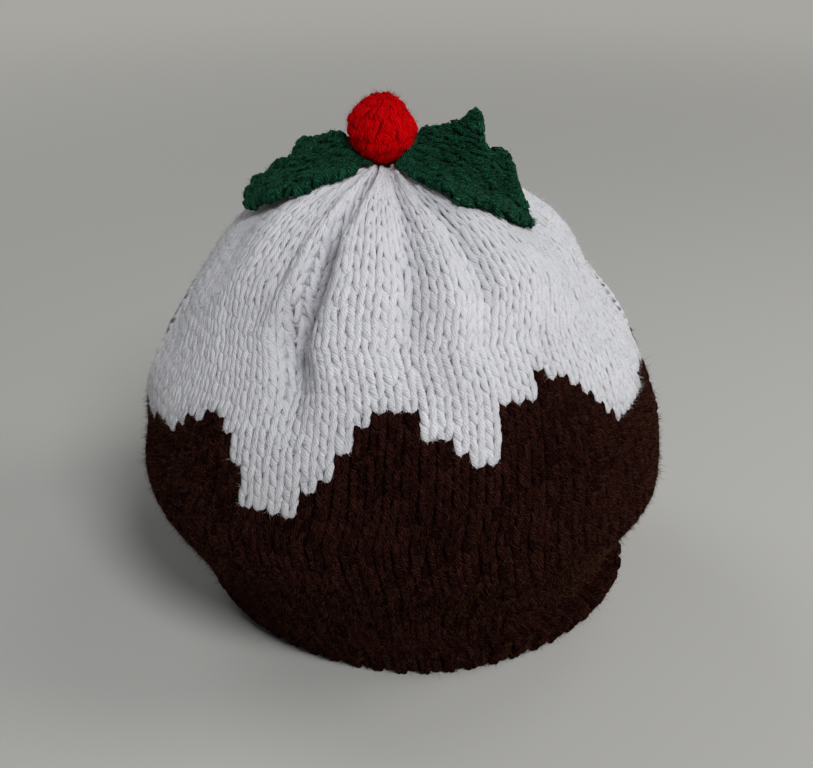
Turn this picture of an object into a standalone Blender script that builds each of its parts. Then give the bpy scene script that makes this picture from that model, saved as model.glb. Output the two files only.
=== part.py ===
"""Knitted pudding tea cosy: two gathered panels, a stuffed berry and two holly leaves."""
import math

import bpy
import numpy as np

# Tables are in millimetres and the model in metres.
MM = 0.001
SHEET_THICKNESS = 3.0
SEAM_GAP = 0.3
HEM_HEIGHT = 12.0
HEM_RIBS = 26
HEM_RIB_RISE = 0.9
HEM_RIB_FADE = 0.35
ROLLED_EDGE = 0.9
ROLLED_EDGE_WIDTH = 4.0
PANEL_COLUMNS = 2 * HEM_RIBS
HEM_ROWS = 5
BODY_ROWS = 9
ICING_ROWS = 16
RING_SAMPLES = 361
LENGTH_SAMPLES = 401
NORMAL_STEP = 0.004

# The cosy's sections: how far the cloth's outer face reaches from the middle at each height.
# Squareness is the exponent of the section's rounded oval.
SECTION_COLUMNS = ("height", "right", "left", "front", "back", "squareness")
SECTIONS = (
    (0.0, 74.4, 63.2, 61.8, 59.6, 1.86),
    (5.5, 76.6, 66.4, 64.2, 64.6, 1.93),
    (11.0, 77.0, 68.2, 65.8, 65.2, 2.01),
    (14.5, 72.2, 70.0, 65.2, 65.0, 2.03),
    (23.0, 73.6, 73.4, 66.9, 67.0, 2.09),
    (34.0, 78.8, 79.2, 72.6, 72.4, 2.13),
    (49.0, 86.0, 86.0, 80.2, 79.6, 2.15),
    (66.0, 84.4, 84.4, 78.2, 78.0, 2.15),
    (84.0, 78.6, 81.8, 74.0, 74.4, 2.15),
    (100.0, 70.6, 72.8, 66.1, 66.8, 2.15),
    (115.0, 59.7, 63.6, 57.0, 57.8, 2.15),
    (128.0, 52.2, 54.0, 48.6, 49.4, 2.13),
    (138.5, 37.6, 42.4, 36.8, 37.4, 2.08),
    (146.6, 14.0, 23.6, 17.4, 18.0, 2.00),
    (149.6, 0.9, 11.3, 6.1, 6.1, 2.00),
)

# Folds that run down from the gather. Across is the place between the left seam (0) and the right
# seam (1) at three heights along the cloth; a positive rise is a ridge, a negative one a groove.
FOLD_COLUMNS = ("top", "middle", "low", "half_width", "rise", "fades_from", "fades_to")
FOLD_HEIGHTS = (0.64, 0.80, 0.96)
FOLD_GIRTH = 137.0
FRONT_FOLDS = (
    (0.10, 0.10, 0.10, 6.0, -1.4, 0.78, 0.62),
    (0.20, 0.20, 0.19, 6.5, 1.8, 0.76, 0.60),
    (0.29, 0.265, 0.255, 5.0, -2.4, 0.74, 0.56),
    (0.335, 0.32, 0.315, 4.5, 1.8, 0.70, 0.52),
    (0.405, 0.35, 0.345, 4.4, -6.0, 0.66, 0.46),
    (0.47, 0.46, 0.452, 8.0, 2.8, 0.68, 0.46),
    (0.56, 0.532, 0.525, 4.6, -2.6, 0.74, 0.58),
    (0.61, 0.60, 0.603, 6.5, 1.9, 0.68, 0.48),
    (0.66, 0.648, 0.65, 4.8, -2.6, 0.74, 0.56),
    (0.73, 0.74, 0.78, 8.0, 1.8, 0.76, 0.58),
    (0.88, 0.88, 0.87, 5.0, -1.8, 0.78, 0.64),
)
BACK_FOLDS = (
    (0.09, 0.10, 0.11, 5.5, -1.8, 0.78, 0.62),
    (0.18, 0.19, 0.20, 6.5, 1.5, 0.74, 0.60),
    (0.29, 0.30, 0.31, 4.6, -2.6, 0.74, 0.60),
    (0.38, 0.38, 0.39, 6.0, 1.4, 0.74, 0.58),
    (0.46, 0.47, 0.48, 4.4, -3.2, 0.74, 0.57),
    (0.55, 0.56, 0.57, 6.0, 1.7, 0.73, 0.58),
    (0.64, 0.65, 0.66, 4.6, -2.2, 0.76, 0.62),
    (0.74, 0.75, 0.75, 6.5, 1.4, 0.74, 0.60),
    (0.86, 0.86, 0.85, 5.0, -2.4, 0.77, 0.60),
)

# The openings that the two side seams leave, by height, with the half gap between the panels.
LENS_ROUNDNESS = 0.8
SPOUT_OPENING = {"bottom": 60.0, "top": 112.0, "half_gap": 13.0}
HANDLE_OPENING = {"bottom": 44.0, "top": 114.0, "half_gap": 10.0}

# The icing's lower edge: place between the seams, and height.
ICING_COLUMNS = ("across", "height")
FRONT_ICING = (
    (0.00, 80.0), (0.08, 79.0), (0.13, 78.0), (0.17, 81.0), (0.21, 86.0), (0.26, 91.5), (0.295, 89.0),
    (0.305, 79.0), (0.325, 68.0), (0.36, 65.5), (0.385, 72.0), (0.41, 79.0), (0.44, 85.0), (0.455, 92.0),
    (0.475, 98.0), (0.515, 99.5), (0.53, 93.0), (0.55, 89.5), (0.565, 90.5), (0.58, 84.5), (0.60, 81.5),
    (0.625, 84.0), (0.638, 95.0), (0.66, 98.0), (0.685, 102.5), (0.72, 102.5), (0.745, 96.0),
    (0.77, 90.0), (0.80, 84.5), (0.835, 84.0), (0.87, 90.0), (0.92, 92.0), (1.00, 88.0),
)
BACK_ICING = (
    (0.00, 80.0), (0.06, 78.0), (0.10, 84.0), (0.15, 94.0), (0.20, 96.0), (0.24, 88.0), (0.28, 74.0),
    (0.32, 68.0), (0.36, 76.0), (0.40, 88.0), (0.44, 98.0), (0.49, 99.0), (0.53, 92.0), (0.57, 84.0),
    (0.61, 80.0), (0.65, 88.0), (0.69, 99.0), (0.74, 101.0), (0.78, 93.0), (0.83, 82.0), (0.87, 80.0),
    (0.92, 88.0), (1.00, 88.0),
)

# The berry's rings: height above its lowest point, radius, and how far the ring leans to +X.
BERRY_PLACE = (-5.4, -0.4, 148.5)
BERRY_COLUMNS = ("height", "radius", "lean")
BERRY_PROFILE = (
    (0.0, 0.0, -1.6),
    (0.6, 2.7, -1.5),
    (2.1, 5.2, -1.2),
    (4.8, 8.3, -0.5),
    (7.4, 10.0, -0.1),
    (10.2, 10.3, -0.5),
    (13.2, 9.8, -1.1),
    (16.4, 8.2, -1.3),
    (19.1, 5.9, -0.9),
    (21.0, 3.6, -0.5),
    (21.8, 0.0, -0.4),
)
BERRY_SIDES = 22
BERRY_LUMP = 0.35
BERRY_LUMPS_ROUND = 5
BERRY_LUMPS_TWIST = 1.3
BERRY_LUMPS_BEAT = 2

# A holly leaf: each row is a place along the midrib (0 root, 1 tip), how far its near and far edges
# reach from the midrib, and how steeply the near side falls and the far side rises, in degrees.
LEAF_COLUMNS = ("along", "near", "far", "near_fall", "far_rise")
LEAF_THICKNESS = 2.8
LEAF_ROLLED_EDGE = 0.5
LEAF_EDGE_TIGHTNESS = 6
LEAF_CLEARANCE = 0.6
LEAF_BEND_WIDTH = 9.0
LEAF_BEND_SAMPLES = 81
LEAF_GROUND_FROM = 0.72
LEAF_GROUND_GRID = (60, 120)
LEAF_GROUND_SPREAD = 1.4
LEAF_STRIPS = 8
RIGHT_MIDRIB = (
    (1.4, -7.8, 151.6),
    (11.0, -10.5, 151.2),
    (23.0, -14.5, 147.6),
    (33.2, -18.4, 140.2),
    (36.4, -23.0, 132.6),
)
RIGHT_LEAF = (
    (0.00, 3.0, 5.0, 20, 40),
    (0.08, 6.5, 10.5, 22, 55),
    (0.20, 9.5, 12.0, 24, 62),
    (0.33, 12.0, 15.0, 26, 64),
    (0.41, 13.5, 19.5, 26, 66),
    (0.45, 14.0, 18.5, 26, 64),
    (0.48, 14.0, 11.5, 26, 62),
    (0.54, 13.0, 10.5, 26, 60),
    (0.60, 12.0, 12.5, 28, 58),
    (0.66, 11.0, 13.0, 28, 56),
    (0.72, 9.5, 9.8, 28, 54),
    (0.83, 7.0, 4.6, 28, 45),
    (0.92, 6.0, 3.6, 26, 40),
    (1.00, 4.6, 3.0, 24, 35),
)
LEFT_MIDRIB = (
    (-14.5, -3.5, 152.0),
    (-24.0, -5.0, 150.8),
    (-34.0, -6.0, 148.0),
    (-43.0, -6.5, 142.8),
    (-47.6, -7.0, 138.8),
)
LEFT_LEAF = (
    (0.00, 3.0, 5.0, 10, 30),
    (0.08, 6.0, 9.0, 12, 36),
    (0.20, 8.5, 10.5, 14, 32),
    (0.32, 11.5, 11.5, 16, 24),
    (0.40, 13.0, 13.0, 16, 20),
    (0.46, 12.5, 13.5, 16, 18),
    (0.51, 12.0, 8.5, 18, 14),
    (0.58, 11.5, 7.5, 18, 14),
    (0.66, 11.0, 9.0, 18, 14),
    (0.73, 9.5, 9.5, 18, 12),
    (0.80, 8.0, 6.0, 18, 10),
    (0.90, 6.0, 5.5, 18, 10),
    (1.00, 4.0, 4.0, 18, 8),
)

MATERIALS = {
    "pudding_yarn": (0.030, 0.014, 0.008),
    "icing_yarn": (0.62, 0.62, 0.66),
    "berry_yarn": (0.55, 0.006, 0.010),
    "leaf_yarn": (0.006, 0.055, 0.026),
}


def column(table, names, name):
    return np.array([row[names.index(name)] for row in table], dtype=float)


def smooth_step(value):
    value = np.clip(value, 0.0, 1.0)
    return value * value * (3.0 - 2.0 * value)


def smooth_path(points, stations, places):
    """Read a smooth curve through the rows of points at the given places along it."""
    points = np.asarray(points, dtype=float)
    slopes = np.gradient(points, stations, axis=0)
    slopes[1:-1] = (points[2:] - points[:-2]) / (stations[2:] - stations[:-2])[:, None]
    index = np.clip(np.searchsorted(stations, places, side="right") - 1, 0, len(stations) - 2)
    step = (stations[index + 1] - stations[index])[:, None]
    u = ((places - stations[index]) / step[:, 0])[:, None]
    start = (2 * u**3 - 3 * u**2 + 1) * points[index] + (u**3 - 2 * u**2 + u) * step * slopes[index]
    end = (3 * u**2 - 2 * u**3) * points[index + 1] + (u**3 - u**2) * step * slopes[index + 1]
    return start + end


class Cloth:
    """The draped cloth's outer face, by place across (left to right) and along (hem to gather)."""

    def __init__(self, side, folds):
        self.side = side
        self.folds = [dict(zip(FOLD_COLUMNS, fold)) for fold in folds]
        reach = sum(column(SECTIONS, SECTION_COLUMNS, name) for name in SECTION_COLUMNS[1:5]) / 4.0
        rise = column(SECTIONS, SECTION_COLUMNS, "height")
        steps = np.hypot(np.diff(rise), np.diff(reach))
        self.stations = np.concatenate([[0.0], np.cumsum(steps)]) / steps.sum()
        self.places = np.linspace(0.0, 1.0, LENGTH_SAMPLES)
        self.heights = smooth_path(SECTIONS, self.stations, self.places)[:, 0]
        self.hem_end = self.along_at(HEM_HEIGHT)

    def along_at(self, height):
        return float(np.interp(height, self.heights, self.places))

    def half_ring(self, along):
        """One panel's line across at a place along the cloth, as points and their distances."""
        row = smooth_path(SECTIONS, self.stations, np.array([along]))[0]
        height, right, left, front, back, squareness = row
        middle = (right - left) / 2.0
        half_width = (right + left) / 2.0
        depth = front if self.side == "front" else back
        turn = np.linspace(math.pi, 0.0, RING_SAMPLES)
        reach = (np.abs(np.cos(turn)) / half_width) ** squareness + (np.sin(turn) / depth) ** squareness
        reach = reach ** (-1.0 / squareness)
        x = middle + reach * np.cos(turn)
        y = reach * np.sin(turn)
        left_gap = side_gap(height, SPOUT_OPENING)
        right_gap = side_gap(height, HANDLE_OPENING)
        gap = np.where(turn > math.pi / 2, left_gap, right_gap)
        inside = y > gap
        first, last = np.flatnonzero(inside)[[0, -1]]
        x = np.concatenate([[edge_x(x, y, first - 1, gap[0])], x[inside], [edge_x(x, y, last, gap[-1])]])
        y = np.concatenate([[gap[0]], y[inside], [gap[-1]]])
        y = -y if self.side == "front" else y
        points = np.stack([x, y, np.full_like(x, height)], axis=1)
        distance = np.concatenate([[0.0], np.cumsum(np.linalg.norm(np.diff(points, axis=0), axis=1))])
        return points, distance

    def base(self, across, along):
        """The smooth face without folds, and the cloth's width at this height."""
        points, distance = self.half_ring(along)
        place = across * distance[-1]
        return np.array([np.interp(place, distance, points[:, axis]) for axis in range(3)]), distance[-1]

    def normal(self, across, along):
        after = self.base(min(across + NORMAL_STEP, 1.0), along)[0]
        before = self.base(max(across - NORMAL_STEP, 0.0), along)[0]
        above = self.base(across, min(along + NORMAL_STEP, 1.0))[0]
        below = self.base(across, max(along - NORMAL_STEP, 0.0))[0]
        right = after - before
        up = above - below
        normal = np.cross(right, up) if self.side == "front" else np.cross(up, right)
        if along <= 0.0:
            normal[2] = 0.0
        if across <= 0.0 or across >= 1.0:
            normal[1] = 0.0
        return normal / np.linalg.norm(normal)

    def rise(self, across, along, width):
        """How far folds, hem ribs and rolled opening edges stand out of the smooth face."""
        total = 0.0
        for fold in self.folds:
            centre = np.interp(along, FOLD_HEIGHTS, (fold["low"], fold["middle"], fold["top"]))
            strength = smooth_step((along - fold["fades_to"]) / (fold["fades_from"] - fold["fades_to"]))
            reach = (across - centre) * FOLD_GIRTH / fold["half_width"]
            total += fold["rise"] * strength * math.exp(-reach * reach)
        total *= min(1.0, width / FOLD_GIRTH)
        rib = HEM_RIB_RISE * math.sin(math.pi * HEM_RIBS * across) ** 2
        total += rib * smooth_step((1.0 - along / self.hem_end) / HEM_RIB_FADE)
        height = np.interp(along, self.places, self.heights)
        for edge, opening in ((0.0, SPOUT_OPENING), (1.0, HANDLE_OPENING)):
            strength = side_gap(height, opening) / opening["half_gap"]
            reach = abs(across - edge) * width / ROLLED_EDGE_WIDTH
            total += ROLLED_EDGE * strength * math.exp(-reach * reach)
        return total

    def outer_and_inner(self, across, along):
        base, width = self.base(across, along)
        normal = self.normal(across, along)
        outer = base + normal * self.rise(across, along, width)
        inner = outer - normal * SHEET_THICKNESS
        return outer, inner


def side_gap(height, opening):
    """Half the gap between the panels at a height: the sewn seam, or the lens of an opening."""
    share = (height - opening["bottom"]) / (opening["top"] - opening["bottom"])
    if not 0.0 < share < 1.0:
        return SEAM_GAP / 2.0
    return SEAM_GAP / 2.0 + opening["half_gap"] * math.sin(math.pi * share) ** LENS_ROUNDNESS


def edge_x(x, y, index, gap):
    """Where a ring crosses the gap's edge, between the samples index and index + 1."""
    share = (gap - y[index]) / (y[index + 1] - y[index])
    return x[index] + share * (x[index + 1] - x[index])


def make_material(name):
    material = bpy.data.materials.new(name)
    material.use_nodes = True
    shader = material.node_tree.nodes["Principled BSDF"]
    shader.inputs["Base Color"].default_value = (*MATERIALS[name], 1.0)
    shader.inputs["Roughness"].default_value = 0.9
    shader.inputs["Metallic"].default_value = 0.0
    return material


def make_object(name, points, faces, materials, face_materials=None):
    mesh = bpy.data.meshes.new(name)
    mesh.from_pydata([tuple(point) for point in np.asarray(points) * MM], [], faces)
    for material in materials:
        mesh.materials.append(material)
    if face_materials is not None:
        mesh.polygons.foreach_set("material_index", face_materials)
    mesh.shade_smooth()
    mesh.update()
    part = bpy.data.objects.new(name, mesh)
    bpy.context.scene.collection.objects.link(part)
    return part


def sheet_faces(rows, columns, flip):
    """Faces of a closed sheet: its outer grid of points comes first, then its inner grid."""
    def outer(row, col):
        return row * (columns + 1) + col

    def inner(row, col):
        return (rows + 1) * (columns + 1) + outer(row, col)

    faces = []
    owners = []
    for row in range(rows):
        for col in range(columns):
            corners = ((row, col), (row, col + 1), (row + 1, col + 1), (row + 1, col))
            faces.append(tuple(outer(*corner) for corner in corners))
            faces.append(tuple(inner(*corner) for corner in reversed(corners)))
            owners += [row, row]
    for col in range(columns):
        faces.append((outer(0, col), inner(0, col), inner(0, col + 1), outer(0, col + 1)))
        faces.append((outer(rows, col), outer(rows, col + 1), inner(rows, col + 1), inner(rows, col)))
        owners += [0, rows - 1]
    for row in range(rows):
        faces.append((outer(row, 0), outer(row + 1, 0), inner(row + 1, 0), inner(row, 0)))
        end = columns
        faces.append((outer(row, end), inner(row, end), inner(row + 1, end), outer(row + 1, end)))
        owners += [row, row]
    if flip:
        faces = [tuple(reversed(face)) for face in faces]
    return faces, owners


def make_panel(name, cloth, icing, materials):
    """A knitted panel, with one line of its grid laid along the icing's lower edge."""
    across = np.linspace(0.0, 1.0, PANEL_COLUMNS + 1)
    edge_places = column(icing, ICING_COLUMNS, "across")
    edge_heights = column(icing, ICING_COLUMNS, "height")
    outer = []
    inner = []
    rows = []
    for place in across:
        edge = cloth.along_at(np.interp(place, edge_places, edge_heights))
        hem = np.linspace(0.0, cloth.hem_end, HEM_ROWS + 1)
        body = np.linspace(cloth.hem_end, edge, BODY_ROWS + 1)[1:]
        top = np.linspace(edge, 1.0, ICING_ROWS + 1)[1:]
        rows.append(np.concatenate([hem, body, top]))
    rows = np.array(rows).T
    for line in rows:
        for place, along in zip(across, line):
            out_point, in_point = cloth.outer_and_inner(place, along)
            outer.append(out_point)
            inner.append(in_point)
    row_count = len(rows) - 1
    faces, owners = sheet_faces(row_count, PANEL_COLUMNS, flip=cloth.side == "back")
    face_materials = [int(row >= HEM_ROWS + BODY_ROWS) for row in owners]
    return make_object(name, outer + inner, faces, materials, face_materials)


def make_berry(name, material):
    """The stuffed ball, leaning a little ring by ring, with the low lumps of its knitting."""
    heights = column(BERRY_PROFILE, BERRY_COLUMNS, "height")
    leans = column(BERRY_PROFILE, BERRY_COLUMNS, "lean")
    place = np.array(BERRY_PLACE)
    points = [place + (leans[0], 0.0, heights[0])]
    for level, (height, radius, lean) in enumerate(BERRY_PROFILE[1:-1]):
        for side in range(BERRY_SIDES):
            turn = 2.0 * math.pi * (side + 0.5 * (level % 2)) / BERRY_SIDES
            swell = math.sin(BERRY_LUMPS_ROUND * turn + BERRY_LUMPS_TWIST * level)
            reach = radius + BERRY_LUMP * swell * math.sin(BERRY_LUMPS_BEAT * turn)
            points.append(place + (lean + reach * math.cos(turn), reach * math.sin(turn), height))
    points.append(place + (leans[-1], 0.0, heights[-1]))
    faces = []
    levels = len(heights) - 2
    for side in range(BERRY_SIDES):
        after = (side + 1) % BERRY_SIDES
        faces.append((0, 1 + after, 1 + side))
        last = 1 + (levels - 1) * BERRY_SIDES
        faces.append((last + side, last + after, len(points) - 1))
        for level in range(levels - 1):
            low = 1 + level * BERRY_SIDES
            high = low + BERRY_SIDES
            faces.append((low + side, low + after, high + after, high + side))
    return make_object(name, points, faces, [material])


def cloth_top(cloths):
    """Points of both panels' outer faces near the gather, for laying the leaves on."""
    points = []
    rows, columns = LEAF_GROUND_GRID
    for cloth in cloths:
        for along in np.linspace(LEAF_GROUND_FROM, 1.0, rows):
            for across in np.linspace(0.0, 1.0, columns):
                points.append(cloth.outer_and_inner(across, along)[0])
    return np.array(points)


def leaf_section(near, far, fall, rise):
    """A leaf's bent cross-section: places across it, and how far out and up each one lies."""
    places = np.linspace(-near, far, LEAF_BEND_SAMPLES)
    slope = np.radians(fall + (rise - fall) * smooth_step(places / LEAF_BEND_WIDTH + 0.5))
    steps = np.diff(places)
    out = np.concatenate([[0.0], np.cumsum((np.cos(slope[1:]) + np.cos(slope[:-1])) / 2.0 * steps)])
    lift = np.concatenate([[0.0], np.cumsum((np.sin(slope[1:]) + np.sin(slope[:-1])) / 2.0 * steps)])
    return places, out - np.interp(0.0, places, out), lift - np.interp(0.0, places, lift)


def make_leaf(name, midrib, table, ground, material):
    """A knitted holly leaf: a sheet bent along its midrib, lying clear on the cloth."""
    along = column(table, LEAF_COLUMNS, "along")
    edges = [column(table, LEAF_COLUMNS, key) for key in LEAF_COLUMNS[1:]]
    stations = np.unique(np.concatenate([along, (along[1:] + along[:-1]) / 2.0]))
    midrib = np.array(midrib)
    lengths = np.concatenate([[0.0], np.cumsum(np.linalg.norm(np.diff(midrib, axis=0), axis=1))])
    places = lengths / lengths[-1]
    centres = smooth_path(midrib, places, stations)
    shares = np.linspace(-1.0, 1.0, LEAF_STRIPS + 1)
    grid = np.zeros((len(stations), len(shares), 3))
    for index, station in enumerate(stations):
        near, far, fall, rise = (np.interp(station, along, edge) for edge in edges)
        before = centres[max(index - 1, 0)]
        after = centres[min(index + 1, len(stations) - 1)]
        run = (after - before)[:2] / np.linalg.norm((after - before)[:2])
        away = np.array([-run[1], run[0], 0.0])
        away *= math.copysign(1.0, away[1])
        widths = np.where(shares < 0.0, shares * near, shares * far)
        fine, out, lift = leaf_section(near, far, fall, rise)
        for strip, width in enumerate(widths):
            point = centres[index] + away * np.interp(width, fine, out)
            point[2] += np.interp(width, fine, lift)
            grid[index, strip] = clear_of_neighbours(point, ground)
    run = np.gradient(grid, axis=0)
    spread = np.gradient(grid, axis=1)
    normals = np.cross(run, spread)
    normals /= np.linalg.norm(normals, axis=2)[:, :, None]
    normals *= np.sign(normals[:, :, 2].sum())
    edge = np.abs(shares) ** LEAF_EDGE_TIGHTNESS
    half = (LEAF_THICKNESS / 2.0 + LEAF_ROLLED_EDGE / 2.0 * edge)[None, :, None]
    upper = (grid + normals * half).reshape(-1, 3)
    lower = (grid - normals * half).reshape(-1, 3)
    facing = np.cross(grid[1, 1] - grid[0, 1], grid[0, 1] - grid[0, 0])[2]
    faces = sheet_faces(len(stations) - 1, LEAF_STRIPS, flip=facing > 0.0)[0]
    return make_object(name, list(upper) + list(lower), faces, [material])


def clear_of_neighbours(point, ground):
    """Lift a leaf's point clear of the cloth below it and push it clear of the berry."""
    below = ground[np.hypot(ground[:, 0] - point[0], ground[:, 1] - point[1]) < LEAF_GROUND_SPREAD]
    if len(below):
        point[2] = max(point[2], below[:, 2].max() + LEAF_THICKNESS / 2.0 + LEAF_CLEARANCE)
    heights = column(BERRY_PROFILE, BERRY_COLUMNS, "height")
    radius = column(BERRY_PROFILE, BERRY_COLUMNS, "radius").max()
    centre = np.array(BERRY_PLACE) + (0.0, 0.0, heights[-1] / 2.0)
    away = point - centre
    room = radius + BERRY_LUMP + LEAF_THICKNESS / 2.0 + LEAF_CLEARANCE
    if np.linalg.norm(away) < room:
        flat = np.array([away[0], away[1], 0.0])
        needed = math.sqrt(max(room * room - away[2] * away[2], 0.0))
        point = point + flat / np.linalg.norm(flat) * (needed - np.linalg.norm(flat))
    return point


def clear_scene():
    for item in list(bpy.data.objects):
        bpy.data.objects.remove(item, do_unlink=True)


def main():
    clear_scene()
    pudding, icing, red, green = (make_material(name) for name in MATERIALS)
    front = Cloth("front", FRONT_FOLDS)
    back = Cloth("back", BACK_FOLDS)
    make_panel("front_panel", front, FRONT_ICING, [pudding, icing])
    make_panel("back_panel", back, BACK_ICING, [pudding, icing])
    make_berry("berry", red)
    ground = cloth_top((front, back))
    make_leaf("leaf_right", RIGHT_MIDRIB, RIGHT_LEAF, ground, green)
    make_leaf("leaf_left", LEFT_MIDRIB, LEFT_LEAF, ground, green)


main()
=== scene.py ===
import math

import bpy
import numpy as np
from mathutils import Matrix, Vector


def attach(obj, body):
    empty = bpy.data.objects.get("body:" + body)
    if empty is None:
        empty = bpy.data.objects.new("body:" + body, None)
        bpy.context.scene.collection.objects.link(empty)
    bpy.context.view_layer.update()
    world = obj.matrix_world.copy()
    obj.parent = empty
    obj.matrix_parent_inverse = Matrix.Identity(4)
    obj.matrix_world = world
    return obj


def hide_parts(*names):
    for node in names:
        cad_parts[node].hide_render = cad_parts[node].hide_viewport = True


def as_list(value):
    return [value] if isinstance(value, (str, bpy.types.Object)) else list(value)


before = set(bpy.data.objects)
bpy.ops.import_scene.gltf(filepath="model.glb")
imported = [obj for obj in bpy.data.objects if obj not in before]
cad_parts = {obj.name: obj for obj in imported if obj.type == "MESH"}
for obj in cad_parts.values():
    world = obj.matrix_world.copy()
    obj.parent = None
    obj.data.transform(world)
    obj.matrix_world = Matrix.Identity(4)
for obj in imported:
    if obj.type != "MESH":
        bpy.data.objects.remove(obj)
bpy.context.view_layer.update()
mm = 0.001  # lengths in the tables of the cosy's pieces are millimetres
print("frame loaded")

studio = {  # places and distances here and in the lamps are metres
    "cameraPlace": (0.0013, -0.3564, 0.2536),
    "cameraAim": (0.0013, 0.0, 0.0720),
    "lens": 52.34,
    "sensorWidth": 36.0,
    "clipStart": 0.01,
    "lampAim": (0.0, 0.0, 0.07),
    "skyColour": (0.80, 0.83, 0.88),
    "skyStrength": 0.07,
    "floorColour": (0.66, 0.652, 0.620),
    "wallColour": (0.385, 0.380, 0.355),  # the pale room far behind, which lights nothing
    "floorFades": (0.25, 1.20),  # distances from the cosy between which the floor turns into that room
    "floorReach": 40,
    "floorRoughness": 0.6,
}
lamps = {  # place, size, watts, colour
    "rightLamp": ((1.00, 0.00, 0.75), 0.50, 2.7, (1.0, 0.985, 0.95)),
    "rightHighLamp": ((0.55, 0.35, 1.10), 0.50, 0.9, (1.0, 0.99, 0.97)),
    "rightFrontLamp": ((0.75, -0.80, 0.80), 0.60, 0.4, (1.0, 0.99, 0.98)),
    "frontHighLamp": ((0.37, -0.78, 0.96), 0.45, 7.1, (0.98, 0.99, 1.0)),
    "leftBackLamp": ((-0.70, 0.70, 0.90), 0.80, 2.5, (0.97, 0.985, 1.0)),
}


def unit(vectors):
    return vectors / np.maximum(np.linalg.norm(vectors, axis=-1, keepdims=True), 1e-9)


def squareTo(vectors, axis):
    # unit vectors with what runs along the axis taken away
    return unit(vectors - axis * np.sum(vectors * axis, axis=-1, keepdims=True))


def reachAlong(points):
    # distance along a line of points, from its first one
    return np.concatenate([[0.0], np.cumsum(np.linalg.norm(np.diff(points, axis=0), axis=1))])


def smoothStep(value):
    value = np.clip(value, 0.0, 1.0)
    return value * value * (3.0 - 2.0 * value)


def smoothPath(points, stations, places):
    # a smooth curve through the points, which lie at the stations, read at the places
    points = np.asarray(points, dtype=float)
    slopes = np.gradient(points, stations, axis=0)
    slopes[1:-1] = (points[2:] - points[:-2]) / (stations[2:] - stations[:-2])[:, None]
    index = np.clip(np.searchsorted(stations, places, side="right") - 1, 0, len(stations) - 2)
    step = (stations[index + 1] - stations[index])[:, None]
    u = ((places - stations[index]) / step[:, 0])[:, None]
    start = (2 * u**3 - 3 * u**2 + 1) * points[index] + (u**3 - 2 * u**2 + u) * step * slopes[index]
    end = (3 * u**2 - 2 * u**3) * points[index + 1] + (u**3 - u**2) * step * slopes[index + 1]
    return start + end


def pointAt(name, data, place, target):
    item = bpy.data.objects.new(name, data)
    item.location = place
    item.rotation_euler = (Vector(target) - Vector(place)).to_track_quat("-Z", "Y").to_euler()
    bpy.context.scene.collection.objects.link(item)
    return item


def makeStudio():
    # the camera, the lamps and the sky
    scene = bpy.context.scene
    cameraData = bpy.data.cameras.new("camera")
    cameraData.lens = studio["lens"]
    cameraData.sensor_width = studio["sensorWidth"]
    cameraData.clip_start = studio["clipStart"]
    scene.camera = pointAt("camera", cameraData, studio["cameraPlace"], studio["cameraAim"])
    for name, (place, size, watts, colour) in lamps.items():
        data = bpy.data.lights.new(name, "AREA")
        data.shape = "DISK"
        data.size = size
        data.energy = watts
        data.color = colour
        pointAt(name, data, place, studio["lampAim"])
    world = bpy.data.worlds.new("softSky")
    world.use_nodes = True
    tree = world.node_tree
    sky = tree.nodes["Background"]
    sky.inputs["Color"].default_value = (*studio["skyColour"], 1.0)
    sky.inputs["Strength"].default_value = studio["skyStrength"]
    wall = tree.nodes.new("ShaderNodeBackground")
    wall.inputs["Color"].default_value = (*studio["wallColour"], 1.0)
    both = tree.nodes.new("ShaderNodeMixShader")
    tree.links.new(tree.nodes.new("ShaderNodeLightPath").outputs["Is Camera Ray"], both.inputs[0])
    tree.links.new(sky.outputs[0], both.inputs[1])
    tree.links.new(wall.outputs[0], both.inputs[2])
    tree.links.new(both.outputs[0], tree.nodes["World Output"].inputs["Surface"])
    scene.world = world
    scene.view_settings.view_transform = "Standard"
    scene.view_settings.look = "None"


makeStudio()
print("camera and lights set")


def addNode(tree, kind, values=None, **settings):
    # a node with its settings; values are numbers, colours or the sockets that feed its inputs
    node = tree.nodes.new(kind)
    for name, value in settings.items():
        setattr(node, name, value)
    for name, value in (values or {}).items():
        socket = node.inputs[name]
        if isinstance(value, bpy.types.NodeSocket):
            tree.links.new(value, socket)
        else:
            socket.default_value = value
    return node


def maths(tree, operation, first, second=0.5, third=0.0, clamp=False):
    values = {0: first, 1: second, 2: third}
    return addNode(tree, "ShaderNodeMath", values, operation=operation, use_clamp=clamp).outputs[0]


def noise(tree, place, scale, detail):
    values = {"Vector": place, "Scale": scale, "Detail": detail}
    return addNode(tree, "ShaderNodeTexNoise", values).outputs["Fac"]


def blendColours(tree, share, first, second, mode="MIX"):
    # in a colour mix, inputs 6 and 7 and output 2 are the colours
    values = {0: share, 6: first, 7: second}
    return addNode(tree, "ShaderNodeMix", values, data_type="RGBA", blend_type=mode).outputs[2]


def startGroup(name, inputs, outputs):
    group = bpy.data.node_groups.new(name, "ShaderNodeTree")
    for label, kind, value in inputs:
        socket = group.interface.new_socket(label, in_out="INPUT", socket_type=kind)
        socket.default_value = value
    for label, kind in outputs:
        group.interface.new_socket(label, in_out="OUTPUT", socket_type=kind)
    return group, group.nodes.new("NodeGroupInput").outputs, group.nodes.new("NodeGroupOutput").inputs


yarnTwist = {
    "straying": 1.9,  # plies by which the winding wanders
    "strayScale": 480.0,
    "fibreStretch": (0.85, 0.5),  # across and along the plies
    "fibreScale": 1.6,
    "patchScale": 55.0,
    "patchShade": 0.24,
    "islandShift": 90.0,  # sets each strand's fibres apart
    "roughness": (0.72, 0.2),  # the least, and what the fibres add
}


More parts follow.
